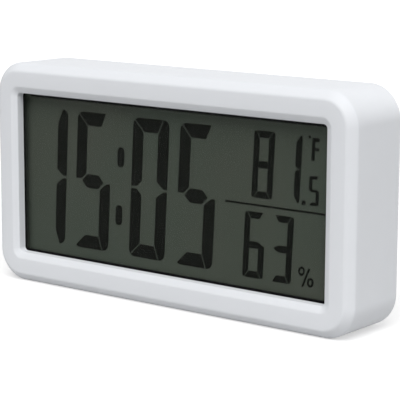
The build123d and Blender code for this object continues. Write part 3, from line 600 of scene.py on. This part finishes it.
def inside_rings(display_depth, frame_depth, depth):
    """The seat of the display with its rib, and the cavity."""
    low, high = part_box("display_window")
    seat_width = high.x + SEAT_CLEARANCE
    seat_height = (high.z - low.z) / 2 + SEAT_CLEARANCE
    inner_corner = max(CASE_CORNER - CASE_WALL, LEAST_CORNER)
    return [
        case_ring(seat_width, seat_height, SEAT_CORNER, display_depth),
        case_ring(seat_width, seat_height, SEAT_CORNER, frame_depth),
        case_ring(seat_width + SEAT_RIB, seat_height + SEAT_RIB, RIB_CORNER, frame_depth),
        case_ring(seat_width + SEAT_RIB, seat_height + SEAT_RIB, RIB_CORNER, FRONT_WALL),
        case_ring(CASE_WIDTH / 2 - CASE_WALL, CASE_HEIGHT / 2 - CASE_WALL, inner_corner, FRONT_WALL),
        case_ring(CASE_WIDTH / 2 - CASE_WALL, CASE_HEIGHT / 2 - CASE_WALL, inner_corner, depth),
    ]


def add_bosses(bm, frame_depth):
    """Four bosses for the cover screws, and four lugs for the screws of the display frame."""
    root = FRONT_Y + FRONT_WALL - BOSS_ROOT
    cover_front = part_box("rear_cover")[1].y - COVER_THICKNESS
    low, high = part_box("cover_screws")
    for x in (low.x + SCREW_HEAD_RADIUS, high.x - SCREW_HEAD_RADIUS):
        for z in (low.z + SCREW_HEAD_RADIUS, high.z - SCREW_HEAD_RADIUS):
            add_tube(bm, x, z, BOSS_RADIUS, PILOT_RADIUS, root, cover_front)
    lug_x = CASE_WIDTH / 2 - CASE_WALL - LUG_RADIUS
    for x in (-lug_x, lug_x):
        for z in (MIDDLE_Z - LUG_HEIGHT, MIDDLE_Z + LUG_HEIGHT):
            add_tube(bm, x, z, LUG_RADIUS, LUG_PILOT_RADIUS, root, FRONT_Y + frame_depth)


def build_case_shell(material):
    """Housing: chamfered front, bevelled opening, seat for the display, cavity and screw bosses."""
    depth = BACK_Y - FRONT_Y
    display_depth = WINDOW_FRONT_Y - FRONT_Y
    frame_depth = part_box("lcd_frame")[0].y - FRONT_Y
    bm = bmesh.new()
    rings = outside_rings(depth) + opening_rings(display_depth)
    rings += inside_rings(display_depth, frame_depth, depth)
    add_ring_surface(bm, rings)
    add_bosses(bm, frame_depth)
    shell = finish_mesh(bm, "case_shell", CASE_ANGLE)
    shell.data.materials.append(material)
    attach(shell, "case")
    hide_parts("front_housing")


# Figures on the display

def keep_left(points, first, second, gap=0.0):
    """The part of a convex outline to the left of the line from first to second, less a gap."""
    run = Vector(second) - Vector(first)
    left = Vector((-run.y, run.x)).normalized()
    origin = Vector(first) + left * gap
    kept = []
    for index, point in enumerate(points):
        following = points[(index + 1) % len(points)]
        here = (Vector(point) - origin).dot(left)
        there = (Vector(following) - origin).dot(left)
        if here >= 0:
            kept.append(tuple(point))
        if here * there < 0:
            kept.append(tuple(Vector(point).lerp(Vector(following), here / (here - there))))
    return kept


def mirrored(points, across=False, over=False):
    """An outline mirrored left to right, top to bottom, or both, still anticlockwise."""
    changed = [(-x if across else x, -z if over else z) for x, z in points]
    return changed[::-1] if across != over else changed


def end_bar(size, outline, left_lean, right_lean):
    """Top bar of a figure, between its two mitres."""
    width, height = size["half_width"], size["half_height"]
    inner_x, inner_z = width - size["side_bar"], height - size["end_bar"]
    points = keep_left(outline, (-inner_x, inner_z), (inner_x, inner_z))
    points = keep_left(points, (inner_x, inner_z), (width - right_lean, height), size["gap"])
    return keep_left(points, (left_lean - width, height), (-inner_x, inner_z), size["gap"])


def side_bar(size, outline, lean, tip, rise, split):
    """Upper right bar of a figure, from its mitre to its cut end beside the middle bar."""
    width, height = size["half_width"], size["half_height"]
    inner_x, inner_z = width - size["side_bar"], height - size["end_bar"]
    foot = split + size["split_gap"]
    points = keep_left(outline, (inner_x, height), (inner_x, -height))
    points = keep_left(points, (width - lean, height), (inner_x, inner_z), size["gap"])
    points = keep_left(points, (0, foot), (width, foot))
    return keep_left(points, (inner_x, split + rise), (width - tip, foot))


def middle_bar(size):
    """Middle bar of a figure, pointed at both ends."""
    left, right = size["middle_left"], size["middle_right"]
    half, slope, z = size["middle_half"], size["middle_slope"], size["middle_z"]
    return [
        (slope - left, z - half), (right - slope, z - half), (right, z),
        (right - slope, z + half), (slope - left, z + half), (-left, z),
    ]


def figure_segments(size):
    """The seven bars of a figure as outlines about its middle, named a to g in the usual order."""
    width, height = size["half_width"], size["half_height"]
    outline = rounded_ring(width, height, size["corner"], steps=6)
    left = (size["left_lean"], size["left_tip"], size["left_rise"])
    right = (size["right_lean"], size["right_tip"], size["right_rise"])
    split = size["split"]
    return {
        "a": end_bar(size, outline, left[0], right[0]),
        "b": side_bar(size, outline, *right, split),
        "c": mirrored(side_bar(size, outline, *right, -split), over=True),
        "d": mirrored(end_bar(size, outline, left[0], right[0]), over=True),
        "e": mirrored(side_bar(size, outline, *left, -split), across=True, over=True),
        "f": mirrored(side_bar(size, outline, *left, split), across=True),
        "g": middle_bar(size),
    }


def rectangle(left, right, low, high):
    """Corners of an upright rectangle."""
    return [(left, low), (right, low), (right, high), (left, high)]


def sign_outlines():
    """Outlines of the colon, the dividing rule, the decimal point, the degree dot and the letter F."""
    signs = []
    for z in COLON_HEIGHTS:
        dot = rounded_ring(COLON_HALF_WIDTH, COLON_HALF_HEIGHT, COLON_HALF_WIDTH, steps=8)
        signs.append([(x + COLON_X, z + rise) for x, rise in dot])
    signs.append(rectangle(RULE_LEFT, RULE_RIGHT, RULE_Z - RULE_HALF_HEIGHT, RULE_Z + RULE_HALF_HEIGHT))
    for (x, z), half in ((POINT_PLACE, POINT_HALF), (DEGREE_PLACE, DEGREE_HALF)):
        signs.append(rectangle(x - half, x + half, z - half, z + half))
    stem = LETTER_F_LEFT + LETTER_F_STROKE
    arm = LETTER_F_LEFT + LETTER_F_ARM
    half = LETTER_F_MIDDLE_SHARE * LETTER_F_STROKE / 2
    signs.append(rectangle(LETTER_F_LEFT, stem, LETTER_F_LOW, LETTER_F_HIGH))
    signs.append(rectangle(stem, arm, LETTER_F_HIGH - LETTER_F_STROKE, LETTER_F_HIGH))
    signs.append(rectangle(stem, arm, LETTER_F_MIDDLE - half, LETTER_F_MIDDLE + half))
    return signs


def ink_place(x, z, y):
    """A point of the display in the frame, slanted as its figures are."""
    return ((x + SLANT * z) * MM, y, MIDDLE_Z + z * MM)


def add_prism(bm, front, back):
    """Closed solid between two outlines with the same number of points."""
    near = [bm.verts.new(point) for point in front]
    far = [bm.verts.new(point) for point in back]
    bm.faces.new(near)
    bm.faces.new(far[::-1])
    for index in range(len(near)):
        following = (index + 1) % len(near)
        bm.faces.new((near[following], near[index], far[index], far[following]))


def add_ink(bm, outline):
    """A figure's bar as a thin solid on the display."""
    front, back = DISPLAY_FACE_Y - INK * MM, DISPLAY_FACE_Y
    add_prism(bm, [ink_place(x, z, front) for x, z in outline], [ink_place(x, z, back) for x, z in outline])


def add_ink_ring(bm, x, z, radii, stroke, steps=28):
    """An oval ring on the display, as in the percent sign."""
    front, back = DISPLAY_FACE_Y - INK * MM, DISPLAY_FACE_Y

    def oval(less, y):
        return [
            ink_place(x + (radii[0] - less) * math.cos(turn), z + (radii[1] - less) * math.sin(turn), y)
            for turn in (2 * math.pi * step / steps for step in range(steps))
        ]

    add_ring_surface(bm, [oval(0, front), oval(0, back), oval(stroke, back), oval(stroke, front)])


def add_ink_stroke(bm, first, second, width):
    """A straight stroke on the display."""
    run = (Vector(second) - Vector(first)).normalized()
    side = Vector((-run.y, run.x)) * width / 2
    first, second = Vector(first), Vector(second)
    add_ink(bm, [tuple(first - side), tuple(second - side), tuple(second + side), tuple(first + side)])


def build_figures(material):
    """Time, temperature and humidity on the display."""
    bm = bmesh.new()
    for digit, size, place, height in DIGITS:
        segments = figure_segments(size)
        for name in SEGMENTS[digit]:
            add_ink(bm, [(x + place, z + height) for x, z in segments[name]])
    for outline in sign_outlines():
        add_ink(bm, outline)
    for x, z in PERCENT_RINGS:
        add_ink_ring(bm, x, z, PERCENT_RADII, PERCENT_STROKE)
    add_ink_stroke(bm, *PERCENT_SLASH, PERCENT_STROKE)
    figures = finish_mesh(bm, "display_figures")
    figures.data.materials.append(material)
    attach(figures, "case")


# Pieces at the back

def add_lathe(bm, profile, steps=48):
    """Surface turned about the Y axis, from pairs of radius and depth that begin and end on the axis."""
    rings = []
    for radius, y in profile:
        if radius <= 0:
            rings.append([bm.verts.new((0, y, 0))])
            continue
        rings.append([
            bm.verts.new((radius * math.cos(turn), y, radius * math.sin(turn)))
            for turn in (2 * math.pi * step / steps for step in range(steps))
        ])
    faces = []
    for first, second in zip(rings, rings[1:]):
        for index in range(steps):
            following = (index + 1) % steps
            corners = []
            for ring, order in ((first, (index, following)), (second, (following, index))):
                corners += [ring[0]] if len(ring) == 1 else [ring[order[0]], ring[order[1]]]
            faces.append(bm.faces.new(corners))
    return faces


def cut_with(piece, cutter):
    """Takes one piece away from another."""
    modifier = piece.modifiers.new("cut", "BOOLEAN")
    modifier.operation = "DIFFERENCE"
    modifier.solver = "EXACT"
    modifier.object = cutter
    apply_modifiers(piece)
    mesh = cutter.data
    bpy.data.objects.remove(cutter)
    bpy.data.meshes.remove(mesh)


def build_cross_cutter(width, reach, depth, y):
    """Tapered cross that presses the recess into a screw head. It points along -Y from y."""
    bm = bmesh.new()
    outline = []
    half = width / 2
    for turn in range(4):
        cos, sin = (1, 0, -1, 0)[turn], (0, 1, 0, -1)[turn]
        for x, z in ((half, -half), (reach, -half), (reach, half)):
            outline.append((x * cos - z * sin, x * sin + z * cos))
    top = [(x, y + CROSS_OVERRUN, z) for x, z in outline]
    rim = [(x, y, z) for x, z in outline]
    floor = [(x * CROSS_TAPER, y - depth, z * CROSS_TAPER) for x, z in outline]
    loops = [[bm.verts.new(point) for point in ring] for ring in (top, rim, floor)]
    for first, second in zip(loops, loops[1:]):
        for index in range(len(outline)):
            following = (index + 1) % len(outline)
            bm.faces.new((first[index], first[following], second[following], second[index]))
    bm.faces.new(loops[0])
    bm.faces.new(loops[-1])
    return finish_mesh(bm, "cross_cutter")


def build_cover_screws(material):
    """Four countersunk screws of the rear cover, with cross recesses."""
    low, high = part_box("cover_screws")
    head, shank, top = SCREW_HEAD_RADIUS, SCREW_SHANK_RADIUS, high.y
    bm = bmesh.new()
    add_lathe(bm, [
        (0, top), (head - SCREW_HEAD_INSET, top), (head, top - SCREW_RIM), (shank, top - SCREW_HEAD_HEIGHT),
        (shank, low.y + SCREW_TIP_LENGTH), (shank * SCREW_TIP_SHARE, low.y), (0, low.y),
    ])
    screw = finish_mesh(bm, "cover_screws", SCREW_ANGLE)
    cut_with(screw, build_cross_cutter(CROSS_WIDTH, CROSS_REACH, CROSS_DEPTH, top))
    bm = bmesh.new()
    for x in (low.x + head, high.x - head):
        for z in (low.z + head, high.z - head):
            copy = screw.data.copy()
            turn = Matrix.Rotation(x * SCREW_TURN_X + z * SCREW_TURN_Z, 4, "Y")
            copy.transform(Matrix.Translation((x, 0, z)) @ turn)
            bm.from_mesh(copy)
            bpy.data.meshes.remove(copy)
    bm.to_mesh(screw.data)
    bm.free()
    shade_smooth(screw.data, SCREW_ANGLE)
    screw.data.materials.clear()
    screw.data.materials.append(material)
    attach(screw, "case")
    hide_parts("cover_screws")


def cell_profile(radius, length):
    """Radius and distance along a cell, from the nub to the flat end. The jacket rolls over both ends."""
    can_radius = radius - JACKET_LAP
    roll = radius - CELL_ROLL
    roll_middle = radius - CELL_ROLL_MIDDLE
    return [
        (0, 0), (NUB_RADIUS - NUB_ROUND, 0), (NUB_RADIUS, NUB_ROUND), (NUB_RADIUS, NUB_LENGTH),
        (can_radius - CAN_SHOULDER, NUB_LENGTH), (can_radius, NUB_LENGTH + CAN_SHOULDER_DEPTH),
        (can_radius + END_GROOVE, NUB_LENGTH), (roll, NUB_LENGTH),
        (roll_middle, NUB_LENGTH + CELL_ROLL_MIDDLE), (radius, NUB_LENGTH + CELL_ROLL),
        (radius, length - CELL_ROLL), (roll_middle, length - CELL_ROLL_MIDDLE), (roll, length),
        (can_radius + END_GROOVE, length), (can_radius, length - END_GROOVE), (0, length - END_GROOVE),
    ]


def build_cell(node, material, steel, nub_first):
    """AAA cell lying along X: a jacket rolled over the steel can, with a raised nub at one end."""
    low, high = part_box(node)
    bm = bmesh.new()
    faces = add_lathe(bm, cell_profile((high.z - low.z) / 2, high.x - low.x), CELL_STEPS)
    for index, face in enumerate(faces):
        face.material_index = 1 if index // CELL_STEPS in CELL_STEEL_RINGS else 0
    direction = 1 if nub_first else -1
    start = low.x if nub_first else high.x
    for vert in bm.verts:
        x, y, z = vert.co
        vert.co = (start + direction * y, (low.y + high.y) / 2 + x, (low.z + high.z) / 2 + z)
    cell = finish_mesh(bm, node + "_cell", CELL_ANGLE)
    cell.data.materials.append(material)
    cell.data.materials.append(steel)
    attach(cell, "case")
    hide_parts(node)


def spring_points(start, end, middle_y, middle_z):
    """Points of a conical coil along X, with its first and last turns nearly flat."""
    count = int(SPRING_TURNS * SPRING_STEPS)
    points = []
    for index in range(count + 1):
        share = index / count
        turn = 2 * math.pi * SPRING_TURNS * share
        rise = min(1.0, max(0.0, (share - SPRING_CLOSED_SHARE) / (1 - 2 * SPRING_CLOSED_SHARE)))
        radius = SPRING_BASE_RADIUS + (SPRING_TIP_RADIUS - SPRING_BASE_RADIUS) * share
        x = start + (end - start) * rise
        points.append((x, middle_y + radius * math.cos(turn), middle_z + radius * math.sin(turn)))
    return points


def wire_mesh(name, points, radius):
    """Mesh of a round wire along points."""
    curve = bpy.data.curves.new(name, "CURVE")
    curve.dimensions = "3D"
    curve.bevel_depth = radius
    curve.bevel_resolution = 3
    curve.use_fill_caps = True
    spline = curve.splines.new("POLY")
    spline.points.add(len(points) - 1)
    for target, point in zip(spline.points, points):
        target.co = (*point, 1)
    source = link(curve, name)
    mesh = bpy.data.meshes.new_from_object(source)
    bpy.data.objects.remove(source)
    bpy.data.curves.remove(curve)
    return mesh


def build_spring(node, cell, material, base_at_high):
    """Conical contact spring of round wire, from its base on the contact to its tip on the cell."""
    low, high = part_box(node)
    cell_low, cell_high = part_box(cell)
    inset = SPRING_WIRE_RADIUS
    start, end = (high.x - inset, low.x + inset) if base_at_high else (low.x + inset, high.x - inset)
    points = spring_points(start, end, (cell_low.y + cell_high.y) / 2, (cell_low.z + cell_high.z) / 2)
    mesh = wire_mesh(node + "_wire", points, SPRING_WIRE_RADIUS)
    spring = link(mesh, node + "_wire")
    shade_smooth(mesh, WIRE_ANGLE)
    mesh.materials.clear()
    mesh.materials.append(material)
    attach(spring, "case")
    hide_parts(node)


def below_control(outline, node, y):
    """An outline placed under a control, at a depth."""
    low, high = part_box(node)
    return [((low.x + high.x) / 2 + x, y, low.z - MARK_DROP + z) for x, z in outline]


def add_mark(bm, node, outline, front, back):
    """A printed sign under a control."""
    add_prism(bm, below_control(outline, node, front), below_control(outline, node, back))


def add_mark_ring(bm, node, x, radius, front, back):
    """A printed ring under a control."""
    turns = [2 * math.pi * step / MARK_STEPS for step in range(MARK_STEPS)]
    bore = radius * MARK_RING_BORE
    rings = []
    for size, y in ((radius, front), (radius, back), (bore, back), (bore, front)):
        outline = [(x + size * math.cos(turn), size * math.sin(turn)) for turn in turns]
        rings.append(below_control(outline, node, y))
    add_ring_surface(bm, rings)


def build_control_marks(material):
    """Plain printed signs: triangles under the up and down buttons, and off and on under the slide."""
    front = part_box("rear_cover")[1].y
    back = front + INK * MM
    half = MARK_SIZE / 2
    ring = half * MARK_RING_SHARE
    bar = half * MARK_BAR_SHARE
    bm = bmesh.new()
    add_mark(bm, "up_button", [(-half, -half), (half, -half), (0, half)], front, back)
    add_mark(bm, "down_button", [(-half, half), (0, -half), (half, half)], front, back)
    add_mark_ring(bm, "slide_knob", -MARK_SPREAD, ring, front, back)
    add_mark(bm, "slide_knob", rectangle(MARK_SPREAD - bar, MARK_SPREAD + bar, -ring, ring), front, back)
    marks = finish_mesh(bm, "control_marks")
    marks.data.materials.append(material)
    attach(marks, "case")


# Pieces that keep their CAD form with softened edges: node, body, width of its edges in millimetres
SOFTENED = (
    ("rear_cover", "case", 0.25), ("battery_door", "door", 0.12), ("slide_knob", "slider", 0.12),
    ("mode_button", "mode_key", 0.3), ("set_button", "set_key", 0.3), ("up_button", "up_key", 0.3),
    ("down_button", "down_key", 0.3), ("unit_button", "unit_key", 0.3),
    ("positive_contact", "case", 0.08), ("negative_contact", "case", 0.08), ("bridge_contact", "case", 0.08),
)


def build_softened_pieces(materials):
    """The moulded and stamped pieces, over the form of their nodes."""
    for node, body, edge in SOFTENED:
        piece = dressed_copy(node, node + "_moulded", edge * MM, materials[SLOTS[node]])
        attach(piece, body)
        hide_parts(node)


def dress_nodes(materials):
    """Gives every CAD node that stays the material of its slot."""
    for node, piece in NODES.items():
        for slot in piece.material_slots:
            slot.material = materials[SLOTS[node]]


# Floor, surroundings, lights and camera

def seen_directly(tree):
    """1 for rays from the camera, from reflections and through glass, and 0 for light that spreads."""
    path = tree.nodes.new("ShaderNodeLightPath").outputs
    either = calculate(tree, "MAXIMUM", path["Is Camera Ray"], path["Is Glossy Ray"])
    return calculate(tree, "MAXIMUM", either, path["Is Transmission Ray"])


def floor_distance(tree):
    """Distance from the clock, counted less along its width."""
    place = tree.nodes.new("ShaderNodeTexCoord")
    narrowed = tree.nodes.new("ShaderNodeVectorMath")
    narrowed.operation = "MULTIPLY"
    narrowed.inputs[1].default_value = FLOOR_NARROWING
    tree.links.new(place.outputs["Object"], narrowed.inputs[0])
    distance = tree.nodes.new("ShaderNodeVectorMath")
    distance.operation = "LENGTH"
    tree.links.new(narrowed.outputs[0], distance.inputs[0])
    return distance.outputs["Value"]


def floor_material():
    """Pale and matt, palest near the clock, with a glow that shows it white."""
    material = bpy.data.materials.new("floor")
    material.use_nodes = True
    tree = material.node_tree
    tree.nodes.clear()
    output = tree.nodes.new("ShaderNodeOutputMaterial")
    diffuse = tree.nodes.new("ShaderNodeBsdfDiffuse")
    glow = tree.nodes.new("ShaderNodeEmission")
    distance = floor_distance(tree)
    tree.links.new(remap(material, distance, *FLOOR_TONES, *FLOOR_CHANGE), diffuse.inputs["Color"])
    whiteness = remap(material, distance, *FLOOR_GLOW, *FLOOR_CHANGE)
    tree.links.new(calculate(tree, "MULTIPLY", seen_directly(tree), whiteness), glow.inputs["Strength"])
    add = tree.nodes.new("ShaderNodeAddShader")
    tree.links.new(diffuse.outputs[0], add.inputs[0])
    tree.links.new(glow.outputs[0], add.inputs[1])
    tree.links.new(add.outputs[0], output.inputs["Surface"])
    return material


def build_floor():
    """Pale floor that shows white to the camera and keeps the shadow under the clock."""
    bm = bmesh.new()
    bmesh.ops.create_grid(bm, x_segments=8, y_segments=8, size=FLOOR_REACH)
    floor = finish_mesh(bm, "floor")
    floor.data.materials.append(floor_material())


def add_background(tree, strength):
    """Even white surroundings of a strength."""
    background = tree.nodes.new("ShaderNodeBackground")
    background.inputs["Color"].default_value = (1, 1, 1, 1)
    background.inputs["Strength"].default_value = strength
    return background.outputs[0]


def build_world():
    """Soft surrounding light, with a white background for what sees it directly."""
    world = bpy.data.worlds.new("studio")
    bpy.context.scene.world = world
    world.use_nodes = True
    tree = world.node_tree
    tree.nodes.clear()
    output = tree.nodes.new("ShaderNodeOutputWorld")
    mix = tree.nodes.new("ShaderNodeMixShader")
    tree.links.new(seen_directly(tree), mix.inputs["Fac"])
    tree.links.new(add_background(tree, SOFT_LIGHT), mix.inputs[1])
    tree.links.new(add_background(tree, WHITE_LIGHT), mix.inputs[2])
    tree.links.new(mix.outputs[0], output.inputs["Surface"])


def add_area_light(name, way, power):
    """Square soft light in a direction from the clock, turned to it."""
    lamp = bpy.data.lights.new(name, "AREA")
    lamp.shape = "SQUARE"
    lamp.size = LIGHT_SIZE
    lamp.energy = power
    light = bpy.data.objects.new(name, lamp)
    bpy.context.scene.collection.objects.link(light)
    light.location = MIDDLE + Vector(way).normalized() * LIGHT_DISTANCE
    light.rotation_euler = (MIDDLE - light.location).to_track_quat("-Z", "Y").to_euler()


def build_camera():
    """Camera at the photograph's angle: from the right, a little above."""
    yaw = math.radians(CAMERA_YAW)
    pitch = math.radians(CAMERA_PITCH)
    away = Vector((math.sin(yaw) * math.cos(pitch), -math.cos(yaw) * math.cos(pitch), math.sin(pitch)))
    data = bpy.data.cameras.new("camera")
    data.sensor_width = CAMERA_SENSOR
    data.sensor_fit = "HORIZONTAL"
    data.lens = CAMERA_LENS
    data.clip_start = CAMERA_NEAR
    camera = bpy.data.objects.new("camera", data)
    bpy.context.scene.collection.objects.link(camera)
    camera.location = Vector(CAMERA_TARGET) + away * CAMERA_DISTANCE
    level = (-away).to_track_quat("-Z", "Y").to_matrix()
    camera.rotation_euler = (level @ Matrix.Rotation(math.radians(CAMERA_ROLL), 3, "Z")).to_euler()
    bpy.context.scene.camera = camera


# Materials of the clock

def build_materials():
    """One material for each slot of the record."""
    white = (0.775, 0.793, 0.824)
    return {
        "case_plastic": varied_material(
            "case_plastic", white, 0.52, specular=0.3, grain=2600.0, variation=0.006,
            relief=0.000012, relief_strength=0.25, gloss_variation=0.04,
        ),
        "button_plastic": varied_material(
            "button_plastic", (0.70, 0.715, 0.74), 0.38, grain=3000.0, variation=0.01, relief=0.00001,
        ),
        "window_acrylic": window_material(),
        "mask_black": mask_material(),
        "lcd_glass": varied_material("lcd_glass", (0.30, 0.34, 0.31), 0.08, relief_strength=0.02),
        "polarizer_film": display_material(),
        "reflector_film": brushed_metal("reflector_film", (0.20, 0.21, 0.20), 0.4),
        "frame_plastic": varied_material("frame_plastic", (0.72, 0.72, 0.69), 0.5, grain=1500.0),
        "contact_rubber": varied_material("contact_rubber", (0.42, 0.12, 0.14), 0.75, specular=0.2),
        "circuit_board": circuit_material(),
        "screw_steel": brushed_metal("screw_steel", (0.62, 0.62, 0.61), 0.3, (1.0, 1.0, 1.0)),
        "chip_resin": varied_material("chip_resin", (0.012, 0.012, 0.013), 0.25, grain=300.0),
        "can_steel": brushed_metal("can_steel", (0.66, 0.66, 0.65), 0.28),
        "capacitor_ceramic": varied_material("capacitor_ceramic", (0.42, 0.29, 0.16), 0.45),
        "capacitor_sleeve": varied_material("capacitor_sleeve", (0.02, 0.02, 0.035), 0.2),
        "switch_plastic": varied_material("switch_plastic", (0.02, 0.02, 0.02), 0.5),
        "contact_steel": brushed_metal("contact_steel", (0.72, 0.71, 0.67), 0.24, (1.0, 30.0, 1.0)),
        "cell_jacket": varied_material(
            "cell_jacket", (0.035, 0.055, 0.075), 0.22, metallic=0.6, grain=400.0, variation=0.12,
        ),
        "red_wire": varied_material("red_wire", (0.55, 0.02, 0.02), 0.4),
        "black_wire": varied_material("black_wire", (0.015, 0.015, 0.016), 0.4),
        "ribbon_plastic": varied_material("ribbon_plastic", (0.5, 0.5, 0.48), 0.45),
        "buzzer_brass": brushed_metal("buzzer_brass", (0.72, 0.55, 0.24), 0.3),
        "buzzer_white": varied_material("buzzer_white", (0.62, 0.60, 0.55), 0.5),
        "sensor_white": varied_material("sensor_white", (0.68, 0.70, 0.72), 0.5),
        "sensor_black": varied_material("sensor_black", (0.015, 0.015, 0.015), 0.2),
    }


bpy.context.scene.view_settings.view_transform = "Standard"
build_camera()
build_floor()
build_world()
for light_name, light_way, light_power in LIGHTS:
    add_area_light(light_name, light_way, light_power)

materials = build_materials()
ink = varied_material("display_ink", (0.0020, 0.0028, 0.0016), 0.6, specular=0.04, relief=0.000005)
build_case_shell(materials["case_plastic"])
build_figures(ink)
build_control_marks(varied_material("printed_grey", (0.16, 0.165, 0.17), 0.6, specular=0.2, relief=0.000005))
build_cover_screws(materials["screw_steel"])
build_cell("upper_battery", materials["cell_jacket"], materials["contact_steel"], True)
build_cell("lower_battery", materials["cell_jacket"], materials["contact_steel"], False)
build_spring("upper_spring", "upper_battery", materials["contact_steel"], True)
build_spring("lower_spring", "lower_battery", materials["contact_steel"], False)
build_softened_pieces(materials)
dress_nodes(materials)
